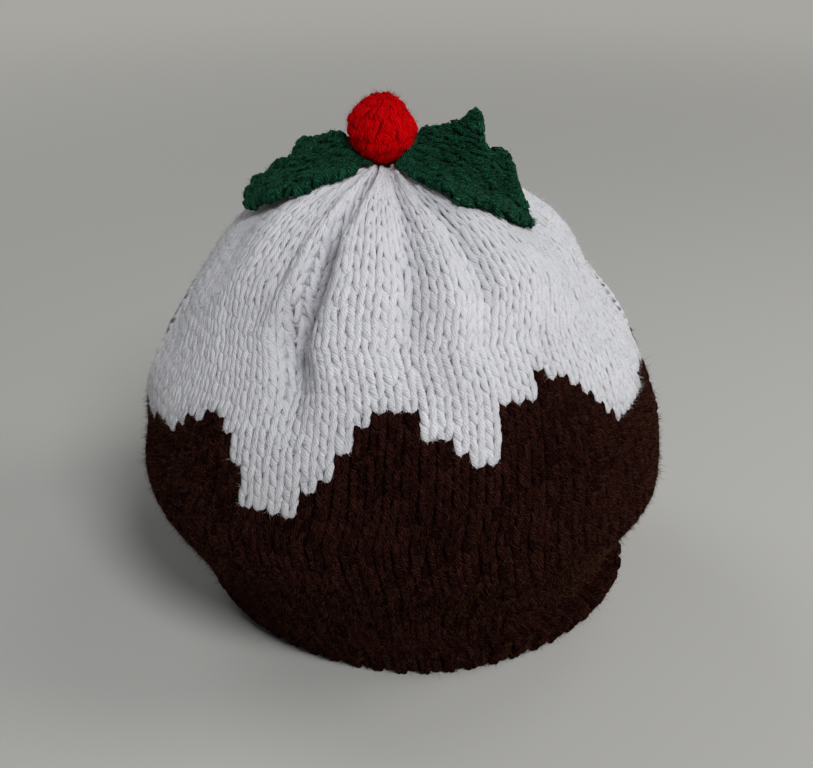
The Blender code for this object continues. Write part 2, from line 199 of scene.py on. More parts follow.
def makeTwistedYarn():
    # plies wound round each strand: its uv map "strand" runs round it (0 to 1) and along it (mm)
    group, given, out = startGroup(
        "twistedYarn",
        [
            ("Colour", "NodeSocketColor", (0.5, 0.5, 0.5, 1.0)),
            ("Groove Shade Colour", "NodeSocketColor", (0.1, 0.1, 0.1, 1.0)),
            ("Plies", "NodeSocketFloat", 5.0),
            ("Lay Length", "NodeSocketFloat", 8.5),
            ("Groove Depth", "NodeSocketFloat", 0.5),
            ("Groove Shade Width", "NodeSocketFloat", 1.0),
            ("Stitch Variation", "NodeSocketFloat", 0.1),
            ("Fibre Contrast", "NodeSocketFloat", 0.2),
        ],
        [("Colour", "NodeSocketColor"), ("Height", "NodeSocketFloat"), ("Roughness", "NodeSocketFloat")],
    )
    strand = addNode(group, "ShaderNodeUVMap", uv_map="strand").outputs["UV"]
    split = addNode(group, "ShaderNodeSeparateXYZ", {0: strand})
    around, lengthwise = split.outputs[0], split.outputs[1]
    turns = maths(group, "DIVIDE", lengthwise, given["Lay Length"])
    phase = maths(group, "MULTIPLY", maths(group, "ADD", around, turns), given["Plies"])
    place = addNode(group, "ShaderNodeTexCoord").outputs["Object"]
    stray = noise(group, place, yarnTwist["strayScale"], 1.0)
    stray = maths(group, "MULTIPLY_ADD", stray, yarnTwist["straying"], -yarnTwist["straying"] / 2.0)
    ply = maths(group, "FRACT", maths(group, "ADD", phase, stray))
    fromMiddle = maths(group, "MULTIPLY_ADD", ply, 2.0, -1.0)
    roundness = maths(group, "SUBTRACT", 1.0, maths(group, "MULTIPLY", fromMiddle, fromMiddle))
    plyHeight = maths(group, "SQRT", maths(group, "MAXIMUM", roundness, 0.0))
    # fine fibres that run along the plies
    island = addNode(group, "ShaderNodeNewGeometry").outputs["Random Per Island"]
    stretch = yarnTwist["fibreStretch"]
    fibreAcross = maths(group, "MULTIPLY", phase, stretch[0])
    fibreAlong = maths(group, "MULTIPLY", lengthwise, stretch[1])
    strandShift = maths(group, "MULTIPLY", island, yarnTwist["islandShift"])
    fibrePlace = addNode(group, "ShaderNodeCombineXYZ", {0: fibreAcross, 1: fibreAlong, 2: strandShift})
    fibres = noise(group, fibrePlace.outputs[0], yarnTwist["fibreScale"], 3.0)
    patches = noise(group, place, yarnTwist["patchScale"], 2.0)
    grooves = maths(group, "MULTIPLY", plyHeight, given["Groove Depth"])
    height = maths(group, "MULTIPLY_ADD", fibres, given["Fibre Contrast"], grooves)
    # strands, patches of cloth and fibres each change the shade
    shade = maths(group, "MULTIPLY_ADD", island, 2.0, -1.0)
    shade = maths(group, "MULTIPLY_ADD", shade, given["Stitch Variation"], 1.0)
    patchShade = yarnTwist["patchShade"]
    patchShading = maths(group, "MULTIPLY_ADD", patches, patchShade, 1.0 - patchShade / 2.0)
    shade = maths(group, "MULTIPLY", shade, patchShading)
    plainFibre = maths(group, "MULTIPLY_ADD", given["Fibre Contrast"], -0.5, 1.0)
    fibreShading = maths(group, "MULTIPLY_ADD", fibres, given["Fibre Contrast"], plainFibre)
    shade = maths(group, "MULTIPLY", shade, fibreShading)
    # painted shade: the strand's colour darkens towards the grooves between its plies
    groove = maths(group, "POWER", plyHeight, given["Groove Shade Width"])
    mixed = blendColours(group, groove, given["Groove Shade Colour"], given["Colour"])
    tint = addNode(group, "ShaderNodeCombineColor", {0: shade, 1: shade, 2: shade}).outputs[0]
    group.links.new(blendColours(group, 1.0, mixed, tint, "MULTIPLY"), out["Colour"])
    group.links.new(height, out["Height"])
    leastRoughness, fibreRoughness = yarnTwist["roughness"]
    group.links.new(maths(group, "MULTIPLY_ADD", fibres, fibreRoughness, leastRoughness), out["Roughness"])
    return group


purlStitch = {
    "slant": 0.16,  # rows by which a bump leans within its wale
    "sharpness": 0.6,
    "fibreStretch": (9.0, 24.0, 1.0),
    "fibreHeight": 0.3,
    "rowShift": 0.05,
    "eyePlace": (0.5, 0.40),  # where the painted shade of a stitch's hole lies, in wales across and shifted rows up
    "eyeWidth": (1.5, -6.0),  # full strength in the middle, and how fast it fades
    "eyeLength": (1.6, -5.0),
}


def makePurlRelief():
    # purl bumps on a plain sheet, with painted shade between the bumps and in the stitches' holes: its uv map
    # "stitches" counts wales across and rows up
    group, given, out = startGroup(
        "purlRelief",
        [
            ("Colour", "NodeSocketColor", (0.5, 0.5, 0.5, 1.0)),
            ("Groove Shade Colour", "NodeSocketColor", (0.1, 0.1, 0.1, 1.0)),
            ("Eye Shade Colour", "NodeSocketColor", (0.05, 0.05, 0.05, 1.0)),
        ],
        [("Colour", "NodeSocketColor"), ("Height", "NodeSocketFloat")],
    )
    place = addNode(group, "ShaderNodeUVMap", uv_map="stitches").outputs["UV"]
    split = addNode(group, "ShaderNodeSeparateXYZ", {0: place})
    wave = maths(group, "SINE", maths(group, "MULTIPLY", split.outputs[0], 2.0 * math.pi))
    bars = maths(group, "MULTIPLY", split.outputs[1], 2.0)
    bars = maths(group, "MULTIPLY_ADD", wave, purlStitch["slant"], bars)
    bump = maths(group, "ABSOLUTE", maths(group, "SINE", maths(group, "MULTIPLY", bars, math.pi)))
    bump = maths(group, "POWER", bump, purlStitch["sharpness"])
    stretch = {0: place, 1: purlStitch["fibreStretch"]}
    stretched = addNode(group, "ShaderNodeVectorMath", stretch, operation="MULTIPLY").outputs[0]
    fibres = noise(group, stretched, 1.0, 3.0)
    # painted shade: darker in the grooves between the purl bumps
    plain = blendColours(group, bump, given["Groove Shade Colour"], given["Colour"])
    # painted shade: the dark hole in the middle of each stitch
    eyeAcross, eyeUp = purlStitch["eyePlace"]
    offMiddle = maths(group, "SUBTRACT", maths(group, "FRACT", split.outputs[0]), eyeAcross)
    offMiddle = maths(group, "ABSOLUTE", offMiddle)
    fullWidth, widthFade = purlStitch["eyeWidth"]
    across = maths(group, "MULTIPLY_ADD", offMiddle, widthFade, fullWidth, clamp=True)
    upRow = maths(group, "FRACT", maths(group, "ADD", split.outputs[1], purlStitch["rowShift"]))
    offEye = maths(group, "ABSOLUTE", maths(group, "SUBTRACT", upRow, eyeUp))
    fullLength, lengthFade = purlStitch["eyeLength"]
    up = maths(group, "MULTIPLY_ADD", offEye, lengthFade, fullLength, clamp=True)
    eyeShade = maths(group, "MULTIPLY", across, up)
    group.links.new(blendColours(group, eyeShade, plain, given["Eye Shade Colour"]), out["Colour"])
    group.links.new(maths(group, "MULTIPLY_ADD", fibres, purlStitch["fibreHeight"], bump), out["Height"])
    return group


twistedYarn = makeTwistedYarn()
purlRelief = makePurlRelief()

yarns = {  # what each yarn looks like
    # the groove colours are painted shade, darker in the grooves between each yarn's plies
    "puddingYarn": {
        "colour": (0.0440, 0.0135, 0.0108), "groove": (0.0048, 0.0013, 0.0011), "variation": 0.45,
        "fibres": 3.0, "sheen": 0.0, "sheenTint": (0.60, 0.35, 0.25), "specular": 0.0,
        "bump": 1.0, "bumpDistance": 0.0009, "plies": 5.0, "layLength": 5.5, "grooveWidth": 1.6,
    },
    "icingYarn": {
        "colour": (0.90, 0.90, 0.94), "groove": (0.76, 0.75, 0.79), "variation": 0.02,
        "fibres": 0.26, "sheen": 0.10, "sheenTint": (1.0, 1.0, 1.0), "specular": 0.15,
        "bump": 0.45, "bumpDistance": 0.0006, "plies": 5.0, "layLength": 5.5, "grooveWidth": 1.6,
    },
    "berryYarn": {
        "colour": (0.86, 0.0008, 0.0038), "groove": (0.50, 0.0004, 0.0020), "variation": 0.06,
        "fibres": 0.55, "sheen": 0.0, "sheenTint": (1.0, 0.2, 0.2), "specular": 0.02,
        "bump": 0.7, "bumpDistance": 0.0006, "plies": 4.0, "layLength": 4.5, "grooveWidth": 1.4,
    },
    "leafYarn": {
        "colour": (0.0180, 0.130, 0.066), "groove": (0.0012, 0.0095, 0.0055), "variation": 0.35,
        "fibres": 3.2, "sheen": 0.0, "sheenTint": (0.3, 0.7, 0.5), "specular": 0.06,
        "bump": 1.0, "bumpDistance": 0.0008, "plies": 4.0, "layLength": 4.0, "grooveWidth": 1.6,
    },
}
webs = {  # the cloth behind the stitches, its colours darker than its yarn as painted shade of the depth behind them: its colour, its grooves' painted shade and the painted shade of its stitches' eyes
    "puddingWebShade": ((0.0085, 0.0034, 0.0028), (0.003, 0.0012, 0.001), (0.002, 0.0008, 0.0006)),
    "icingWebShade": ((0.74, 0.73, 0.77), (0.60, 0.59, 0.63), (0.20, 0.19, 0.19)),
    "icingPurlShade": ((0.74, 0.74, 0.78), (0.36, 0.35, 0.38), (0.60, 0.60, 0.64)),
    "berryWebShade": ((0.55, 0.001, 0.003), (0.40, 0.0008, 0.0018), (0.40, 0.0008, 0.0018)),
    "leafWebShade": ((0.0035, 0.022, 0.012), (0.001, 0.006, 0.003), (0.0008, 0.004, 0.002)),
}
hairs = {  # colour and sheen
    "puddingFuzz": ((0.088, 0.036, 0.018), 0.0),
    "icingFuzz": ((0.62, 0.62, 0.64), 0.2),
    "berryFuzz": ((0.50, 0.004, 0.006), 0.0),
    "leafDown": ((0.034, 0.140, 0.080), 0.0),
    "leafFuzz": ((0.012, 0.060, 0.034), 0.05),
}
woolFinish = {
    "roughness": 0.85,
    "specular": 0.08,
    "sheenRoughness": 0.5,
    "webRoughness": 0.95,
    "webBump": (0.8, 0.0012),  # strength and distance
    "hairRoughness": 0.7,
    "hairShades": (0.6, 1.5, 0.01),  # the darkest and palest hairs' shares of the colour, and what pale adds
}


def startMaterial(name, roughness=woolFinish["roughness"]):
    material = bpy.data.materials.new(name)
    material.use_nodes = True
    shader = material.node_tree.nodes["Principled BSDF"]
    shader.inputs["Roughness"].default_value = roughness
    shader.inputs["Specular IOR Level"].default_value = woolFinish["specular"]
    return material, material.node_tree, shader


def makeYarn(name):
    look = yarns[name]
    material, tree, shader = startMaterial(name)
    values = {
        "Colour": (*look["colour"], 1.0),
        "Groove Shade Colour": (*look["groove"], 1.0),
        "Plies": look["plies"],
        "Lay Length": look["layLength"],
        "Groove Depth": 1.0,
        "Groove Shade Width": look["grooveWidth"],
        "Stitch Variation": look["variation"],
        "Fibre Contrast": look["fibres"],
    }
    twist = addNode(tree, "ShaderNodeGroup", values, node_tree=twistedYarn)
    values = {"Strength": look["bump"], "Distance": look["bumpDistance"], "Height": twist.outputs["Height"]}
    bump = addNode(tree, "ShaderNodeBump", values)
    tree.links.new(twist.outputs["Colour"], shader.inputs["Base Color"])
    tree.links.new(twist.outputs["Roughness"], shader.inputs["Roughness"])
    tree.links.new(bump.outputs["Normal"], shader.inputs["Normal"])
    shader.inputs["Specular IOR Level"].default_value = look["specular"]
    shader.inputs["Sheen Weight"].default_value = look["sheen"]
    shader.inputs["Sheen Roughness"].default_value = woolFinish["sheenRoughness"]
    shader.inputs["Sheen Tint"].default_value = (*look["sheenTint"], 1.0)
    return material


def makeWeb(name):
    # all three colours are painted shade: the depth behind the stitches, the grooves and the stitches' holes
    colour, groove, eyeShade = webs[name]
    material, tree, shader = startMaterial(name, woolFinish["webRoughness"])
    values = {"Colour": (*colour, 1.0), "Groove Shade Colour": (*groove, 1.0), "Eye Shade Colour": (*eyeShade, 1.0)}
    relief = addNode(tree, "ShaderNodeGroup", values, node_tree=purlRelief)
    strength, reach = woolFinish["webBump"]
    values = {"Strength": strength, "Distance": reach, "Height": relief.outputs["Height"]}
    bump = addNode(tree, "ShaderNodeBump", values)
    tree.links.new(relief.outputs["Colour"], shader.inputs["Base Color"])
    tree.links.new(bump.outputs["Normal"], shader.inputs["Normal"])
    return material


def makeHair(name):
    # some hairs are paler than others, so that the halo isn't even
    colour, sheen = hairs[name]
    material, tree, shader = startMaterial(name, woolFinish["hairRoughness"])
    island = addNode(tree, "ShaderNodeNewGeometry").outputs["Random Per Island"]
    darkest, palest, added = woolFinish["hairShades"]
    dark = (*(darkest * value for value in colour), 1.0)
    pale = (*(min(1.0, palest * value + added) for value in colour), 1.0)
    tree.links.new(blendColours(tree, island, dark, pale), shader.inputs["Base Color"])
    shader.inputs["Specular IOR Level"].default_value = 0.0
    shader.inputs["Sheen Weight"].default_value = sheen
    return material


finishes = {name: makeYarn(name) for name in yarns}
finishes.update({name: makeWeb(name) for name in webs})
finishes.update({name: makeHair(name) for name in hairs})
print("yarn finishes made")


def makePiece(name, points, faces, finish, uvName=None, uvs=None, faceFinish=None):
    # faces is a list of arrays, one for each number of corners; uvs is the matching list of corner uvs
    mesh = bpy.data.meshes.new(name)
    points = np.asarray(points, dtype=np.float32).reshape(-1, 3) * mm
    mesh.vertices.add(len(points))
    mesh.vertices.foreach_set("co", points.ravel())
    corners = np.concatenate([block.ravel() for block in faces]).astype(np.int32)
    totals = np.concatenate([np.full(len(block), block.shape[1]) for block in faces]).astype(np.int32)
    starts = np.concatenate([[0], np.cumsum(totals)[:-1]]).astype(np.int32)
    mesh.loops.add(len(corners))
    mesh.loops.foreach_set("vertex_index", corners)
    mesh.polygons.add(len(totals))
    mesh.polygons.foreach_set("loop_start", starts)
    mesh.polygons.foreach_set("loop_total", totals)
    mesh.polygons.foreach_set("use_smooth", np.ones(len(totals), dtype=bool))
    if faceFinish is not None:
        mesh.polygons.foreach_set("material_index", np.asarray(faceFinish, dtype=np.int32))
    for material in finish:
        mesh.materials.append(material)
    if uvName:
        layer = mesh.uv_layers.new(name=uvName)
        flat = np.concatenate([block.reshape(-1, 2) for block in uvs]).astype(np.float32)
        layer.data.foreach_set("uv", flat.ravel())
    mesh.update(calc_edges=True)
    mesh.validate()
    piece = bpy.data.objects.new(name, mesh)
    bpy.context.scene.collection.objects.link(piece)
    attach(piece, "root")
    return piece


strands = {
    "ring": (90.0, 36.0, -22.0, 202.0, 144.0),  # degrees round a strand, which is flat below, in the cloth
    "stoutness": 0.07,  # how much their widths vary
    "fullHalfWidth": 1.1,  # narrower strands are less high too
    "offFloor": 0.03,
}


def strandMesh(centres, sides, ups, halfWidths, halfHeights):
    # closed tubes: centres is strands x points x 3, and the others follow it
    count, length = centres.shape[:2]
    ring = np.radians(strands["ring"])
    ringSize = len(ring)
    across = sides[:, :, None, :] * (halfWidths[:, :, None] * np.cos(ring))[..., None]
    upward = ups[:, :, None, :] * (halfHeights[:, :, None] * np.sin(ring))[..., None]
    points = centres[:, :, None, :] + across + upward
    first = (np.arange(count) * length * ringSize)[:, None, None]
    start = first + (np.arange(length - 1) * ringSize)[None, :, None]
    turn = np.arange(ringSize)[None, None, :]
    after = (turn + 1) % ringSize
    corners = (start + turn, start + after, start + ringSize + after, start + ringSize + turn)
    quads = np.stack(corners, axis=-1).reshape(-1, 4)
    starts = first[:, 0] + np.arange(ringSize)[None, ::-1]
    ends = first[:, 0] + (length - 1) * ringSize + np.arange(ringSize)[None, :]
    caps = np.concatenate([starts, ends])
    lengths = np.linalg.norm(np.diff(centres, axis=1), axis=2)
    reach = np.concatenate([np.zeros((count, 1)), np.cumsum(lengths, axis=1)], axis=1)
    low = np.broadcast_to((turn / ringSize), (count, length - 1, ringSize))
    high = np.broadcast_to(((turn + 1) / ringSize), low.shape)
    here = np.broadcast_to(reach[:, :-1, None], low.shape)
    there = np.broadcast_to(reach[:, 1:, None], low.shape)
    corners = [np.stack(pair, -1) for pair in ((low, here), (high, here), (high, there), (low, there))]
    quadUvs = np.stack(corners, axis=-2).reshape(-1, 4, 2)
    capUvs = np.zeros((len(caps), ringSize, 2))
    points = points.reshape(-1, 3)
    # the first face tells whether they all have to be turned to face outward
    a, b, c = points[quads[0, [0, 1, 3]]]
    if np.dot(np.cross(b - a, c - a), a - centres[0, 0]) < 0.0:
        quads, quadUvs, caps = quads[:, ::-1], quadUvs[:, ::-1], caps[:, ::-1]
    return points, [quads, caps], [quadUvs, capUvs]


def strandsAlong(centres, normals, thickness, halfWidth, halfHeight):
    runs = unit(np.gradient(centres, axis=1))
    sides = unit(np.cross(runs, normals))
    ups = unit(np.cross(sides, runs))
    return strandMesh(centres, sides, ups, halfWidth * thickness, halfHeight * thickness)


def wrapStrands(edge, inward, normal, along, path, halfWidth, halfHeight):
    # strands that wrap round a cloth's edge; the path says inward, out of the face, along and thickness
    path = np.array(path)
    axes = (inward, normal, along)
    centres = edge[:, None] + sum(path[None, :, k, None] * axis[:, None] for k, axis in enumerate(axes))
    runs = unit(np.gradient(centres, axis=1))
    sides = squareTo(along[:, None], runs)
    ups = unit(np.cross(sides, runs))
    thickness = np.broadcast_to(path[None, :, 3], centres.shape[:2])
    return strandMesh(centres, sides, ups, np.reshape(halfWidth, (-1, 1)) * thickness, halfHeight * thickness)


def gridRim(grid):
    return np.concatenate([grid[:, 0], grid[-1, 1:], grid[-2::-1, -1], grid[0, -2:0:-1]])


def sheetFaces(shape):
    # quads of a closed sheet: a grid's outer face, the same grid behind it and the rim that joins them
    size = shape[0] * shape[1]
    index = np.arange(size).reshape(shape)
    a, b, c, d = index[:-1, :-1], index[:-1, 1:], index[1:, 1:], index[1:, :-1]
    outer = np.stack([a, b, c, d], -1).reshape(-1, 4)
    inner = np.stack([a, d, c, b], -1).reshape(-1, 4) + size
    rim = np.concatenate([index[0, :], index[1:, -1], index[-1, -2::-1], index[-2:0:-1, 0]])
    after = np.roll(rim, -1)
    return np.concatenate([outer, inner, np.stack([rim, rim + size, after + size, after], -1)]), rim


def joinMeshes(parts):
    # one mesh of many, its faces and their uvs kept apart by number of corners
    points, faces, uvs, start = [], {}, {}, 0
    for partPoints, partFaces, partUvs in parts:
        points.append(partPoints)
        for block, uvBlock in zip(partFaces, partUvs):
            faces.setdefault(block.shape[1], []).append(block + start)
            uvs.setdefault(block.shape[1], []).append(uvBlock)
        start += len(partPoints)
    sizes = sorted(faces)
    faces, uvs = ([np.concatenate(blocks[size]) for size in sizes] for blocks in (faces, uvs))
    return np.concatenate(points), faces, uvs


def makeStrandPiece(name, parts, finish):
    points, faces, uvs = joinMeshes(parts)
    piece = makePiece(name, points, faces, [finish], "strand", uvs)
    return piece


# The cosy's cloth, whose sections, folds and openings are those of its solids.
cloth = {
    "sections": (  # height, right, left, front, back, squareness
        (0.0, 74.4, 63.2, 61.8, 59.6, 1.86), (5.5, 76.6, 66.4, 64.2, 64.6, 1.93),
        (11.0, 77.0, 68.2, 65.8, 65.2, 2.01), (14.5, 72.2, 70.0, 65.2, 65.0, 2.03),
        (23.0, 73.6, 73.4, 66.9, 67.0, 2.09), (34.0, 78.8, 79.2, 72.6, 72.4, 2.13),
        (49.0, 86.0, 86.0, 80.2, 79.6, 2.15), (66.0, 84.4, 84.4, 78.2, 78.0, 2.15),
        (84.0, 78.6, 81.8, 74.0, 74.4, 2.15), (100.0, 70.6, 72.8, 66.1, 66.8, 2.15),
        (115.0, 59.7, 63.6, 57.0, 57.8, 2.15), (128.0, 52.2, 54.0, 48.6, 49.4, 2.13),
        (138.5, 37.6, 42.4, 36.8, 37.4, 2.08), (146.6, 14.0, 23.6, 17.4, 18.0, 2.00),
        (149.6, 0.9, 11.3, 6.1, 6.1, 2.00),
    ),
    "seamGap": 0.3,
    "openingRoundness": 0.8,
    "openings": ((0.0, 60.0, 112.0, 13.0), (1.0, 44.0, 114.0, 10.0)),  # across, bottom, top, half gap
    "rolledEdge": 0.9,  # how far the openings' edges roll outward
    "rolledEdgeWidth": 4.0,
    "foldHeights": (0.64, 0.80, 0.96),
    "foldGirth": 137.0,  # the panel's width at which the folds are as wide and high as their tables say
    "unevenness": 0.35,
    "waves": (  # two waves multiplied: one by across, up and shift, the other by up and shift
        ((9.0, 7.0, 0.0), (13.0, 2.0)), ((23.0, -11.0, 1.0), (17.0, 0.0)),
    ),
    "waveMargins": (12.0, 10.0),  # the waves die out within a twelfth of the sides and a tenth of the hem
    "edgeNormals": 0.15,  # share of the normals' front-to-back part that is left at the side edges
    "webDepth": 1.05,  # how far the plain sheet behind the stitches lies below the cloth's outer face
    "icingWebDepth": 0.66,
    "thickness": 3.0,
    "flatSize": (252.0, 178.0),
    "gridRows": 401,
    "gridColumns": 501,
    "ringSteps": 721,
}
folds = {  # across at the top, middle and low; half width; rise; fades from and to
    "front": (
        (0.10, 0.10, 0.10, 6.0, -1.4, 0.78, 0.62), (0.20, 0.20, 0.19, 6.5, 1.8, 0.76, 0.60),
        (0.29, 0.265, 0.255, 5.0, -2.4, 0.74, 0.56), (0.335, 0.32, 0.315, 4.5, 1.8, 0.70, 0.52),
        (0.405, 0.35, 0.345, 4.4, -6.0, 0.66, 0.46), (0.47, 0.46, 0.452, 8.0, 2.8, 0.68, 0.46),
        (0.56, 0.532, 0.525, 4.6, -2.6, 0.74, 0.58), (0.61, 0.60, 0.603, 6.5, 1.9, 0.68, 0.48),
        (0.66, 0.648, 0.65, 4.8, -2.6, 0.74, 0.56), (0.73, 0.74, 0.78, 8.0, 1.8, 0.76, 0.58),
        (0.88, 0.88, 0.87, 5.0, -1.8, 0.78, 0.64),
    ),
    "back": (
        (0.09, 0.10, 0.11, 5.5, -1.8, 0.78, 0.62), (0.18, 0.19, 0.20, 6.5, 1.5, 0.74, 0.60),
        (0.29, 0.30, 0.31, 4.6, -2.6, 0.74, 0.60), (0.38, 0.38, 0.39, 6.0, 1.4, 0.74, 0.58),
        (0.46, 0.47, 0.48, 4.4, -3.2, 0.74, 0.57), (0.55, 0.56, 0.57, 6.0, 1.7, 0.73, 0.58),
        (0.64, 0.65, 0.66, 4.6, -2.2, 0.76, 0.62), (0.74, 0.75, 0.75, 6.5, 1.4, 0.74, 0.60),
        (0.86, 0.86, 0.85, 5.0, -2.4, 0.77, 0.60),
    ),
}
creases = {  # finer folds than the solids carry, with the same columns
    "front": (
        (0.396, 0.345, 0.340, 3.3, -6.0, 0.68, 0.46), (0.300, 0.272, 0.262, 2.6, -1.6, 0.74, 0.56),
        (0.558, 0.526, 0.522, 2.6, -1.7, 0.74, 0.56), (0.655, 0.642, 0.641, 3.0, -1.9, 0.74, 0.56),
        (0.240, 0.225, 0.215, 2.8, -1.0, 0.70, 0.50), (0.430, 0.392, 0.386, 4.6, 3.3, 0.68, 0.46),
        (0.505, 0.492, 0.486, 5.0, -1.5, 0.72, 0.54),
    ),
    "back": (
        (0.465, 0.475, 0.485, 2.6, -2.4, 0.70, 0.52), (0.285, 0.295, 0.305, 2.6, -1.6, 0.74, 0.58),
        (0.645, 0.655, 0.665, 2.6, -1.6, 0.74, 0.58), (0.52, 0.525, 0.53, 3.2, 1.2, 0.70, 0.54),
    ),
}
icing = {  # across and height of the icing's lower edge
    "front": (
        (0.00, 73.0), (0.05, 74.0), (0.12, 78.5), (0.168, 81.5), (0.172, 86.5), (0.195, 86.5), (0.22, 90.0),
        (0.262, 87.5), (0.268, 83.0), (0.283, 78.5), (0.29, 73.5), (0.31, 67.0), (0.362, 64.5),
        (0.372, 70.0), (0.376, 75.5), (0.39, 76.0), (0.397, 79.0), (0.41, 79.0), (0.42, 85.0),
        (0.438, 87.5), (0.443, 94.0), (0.463, 94.0), (0.466, 97.0), (0.511, 97.0), (0.514, 93.0),
        (0.535, 90.5), (0.55, 88.5), (0.567, 90.5), (0.58, 84.5), (0.605, 81.0), (0.636, 83.0),
        (0.642, 96.5), (0.66, 94.5), (0.672, 98.0), (0.69, 98.5), (0.694, 102.8), (0.72, 102.8),
        (0.755, 98.0), (0.77, 94.0), (0.795, 90.0), (0.828, 83.8), (0.886, 81.5), (0.93, 84.0),
        (1.00, 86.0),
    ),
    "back": (
        (0.00, 80.0), (0.06, 78.0), (0.10, 84.0), (0.15, 94.0), (0.20, 96.0), (0.24, 88.0), (0.28, 74.0),
        (0.32, 68.0), (0.36, 76.0), (0.40, 88.0), (0.44, 98.0), (0.49, 99.0), (0.53, 92.0), (0.57, 84.0),
        (0.61, 80.0), (0.65, 88.0), (0.69, 99.0), (0.74, 101.0), (0.78, 93.0), (0.83, 82.0), (0.87, 80.0),
        (0.92, 88.0), (1.00, 88.0),
    ),
}
knitting = {
    "wales": 52,  # stitches across a panel
    "hemRows": 3,
    "rowPitch": (  # by height
        (0.0, 4.1), (14.0, 4.2), (50.0, 4.25), (90.0, 4.1), (105.0, 3.95), (125.0, 4.6), (140.0, 5.6),
    ),
    "spread": (  # by height: how far the wales crowd towards the sides, or the middle if it is below 0
        (0.0, 0.05), (28.0, 0.05), (50.0, 0.01), (85.0, -0.13), (112.0, -0.18), (124.0, -0.36),
    ),
    "leg": (  # across the wale from its middle, rows up, lift, thickness
        (0.060, -0.32, -1.40, 0.42), (0.125, -0.03, -0.74, 0.78), (0.200, 0.32, -0.30, 0.97),
        (0.262, 0.72, -0.36, 0.97), (0.292, 1.08, -0.92, 0.88), (0.278, 1.40, -1.70, 0.66),
    ),
    "icingLeg": (  # plumper and flatter, so that the white stitches run together
        (0.070, -0.24, -0.84, 0.50), (0.130, 0.00, -0.48, 0.90), (0.205, 0.32, -0.32, 1.05),
        (0.285, 0.72, -0.33, 1.08), (0.335, 1.08, -0.54, 1.05), (0.325, 1.38, -0.95, 0.86),
    ),
    "purlBar": (
        (-0.62, 0.10, -1.60, 0.7), (-0.38, 0.36, -1.05, 0.95), (-0.12, 0.55, -0.95, 1.0),
        (0.12, 0.55, -0.95, 1.0), (0.38, 0.36, -1.05, 0.95), (0.62, 0.10, -1.60, 0.7),
    ),
    "halfWidth": 0.255,  # of a wale
    "leastHalfWidth": 0.60,
    "mostHalfWidth": 1.45,
    "halfHeight": 0.86,
    "icingHalfHeight": 0.56,
    "jitter": (0.035, 0.05, 0.12),  # wale, row, lift
    "colourShift": 0.1,  # rows by which a stitch takes its colour from lower down
    "hemLeg": (0.0, 0.0, 0.55, 0.12),  # what the hem's legs add to the leg's columns
    "castOn": (  # slanted loops along the hem's lower edge
        (-0.55, 0.02, -1.6, 0.75), (-0.30, 0.10, -0.75, 1.0), (-0.05, 0.20, -0.45, 1.05),
        (0.20, 0.26, -0.55, 1.05), (0.42, 0.24, -0.95, 1.0), (0.60, 0.16, -1.7, 0.7),
    ),
    "castOnWidth": 0.95,
    "seed": 20,
}


def sideGap(height, opening):
    share = np.clip((height - opening[1]) / (opening[2] - opening[1]), 0.0, 1.0)
    return cloth["seamGap"] / 2.0 + opening[3] * np.sin(math.pi * share) ** cloth["openingRoundness"]


def layCloth(side):
    # a dense grid of the panel's outer face, with its normals
    sections = np.array(cloth["sections"])
    reach = sections[:, 1:5].mean(axis=1)
    steps = np.hypot(np.diff(sections[:, 0]), np.diff(reach))
    stations = np.concatenate([[0.0], np.cumsum(steps)]) / steps.sum()
    alongs = np.linspace(0.0, 1.0, cloth["gridRows"])
    acrosses = np.linspace(0.0, 1.0, cloth["gridColumns"])
    rings = smoothPath(sections, stations, alongs)
    turn = np.linspace(math.pi, 0.0, cloth["ringSteps"])
    points = np.zeros((len(alongs), len(acrosses), 3))
    widths = np.zeros(len(alongs))
    for index, (height, right, left, front, back, squareness) in enumerate(rings):
        depth = front if side == "front" else back
        halfWidth = (right + left) / 2.0
        ovalX = (np.abs(np.cos(turn)) / halfWidth) ** squareness
        ovalY = (np.sin(turn) / depth) ** squareness
        radius = (ovalX + ovalY) ** (-1.0 / squareness)
        x = (right - left) / 2.0 + radius * np.cos(turn)
        y = radius * np.sin(turn)
        gaps = [sideGap(height, opening) for opening in cloth["openings"]]
        gap = np.where(turn > math.pi / 2, *gaps)
        inside = np.flatnonzero(y > gap)
        ends = []
        for inner, step, level in ((inside[0], -1, gaps[0]), (inside[-1], 1, gaps[1])):
            outer = inner + step
            share = (level - y[outer]) / (y[inner] - y[outer])
            ends.append(x[outer] + share * (x[inner] - x[outer]))
        x = np.concatenate([ends[:1], x[inside], ends[1:]])
        y = np.concatenate([gaps[:1], y[inside], gaps[1:]])
        distance = np.concatenate([[0.0], np.cumsum(np.hypot(np.diff(x), np.diff(y)))])
        widths[index] = distance[-1]
        points[index, :, 0] = np.interp(acrosses * distance[-1], distance, x)
        points[index, :, 1] = np.interp(acrosses * distance[-1], distance, y)
        points[index, :, 2] = height
    if side == "front":
        points[:, :, 1] *= -1.0
    points = raiseFolds(side, points, acrosses, alongs, rings[:, 0], widths[:, None])
    return {
        "side": side, "points": points, "normals": clothNormals(points, side), "widths": widths,
        "heights": rings[:, 0], "alongs": alongs, "length": steps.sum(),
    }


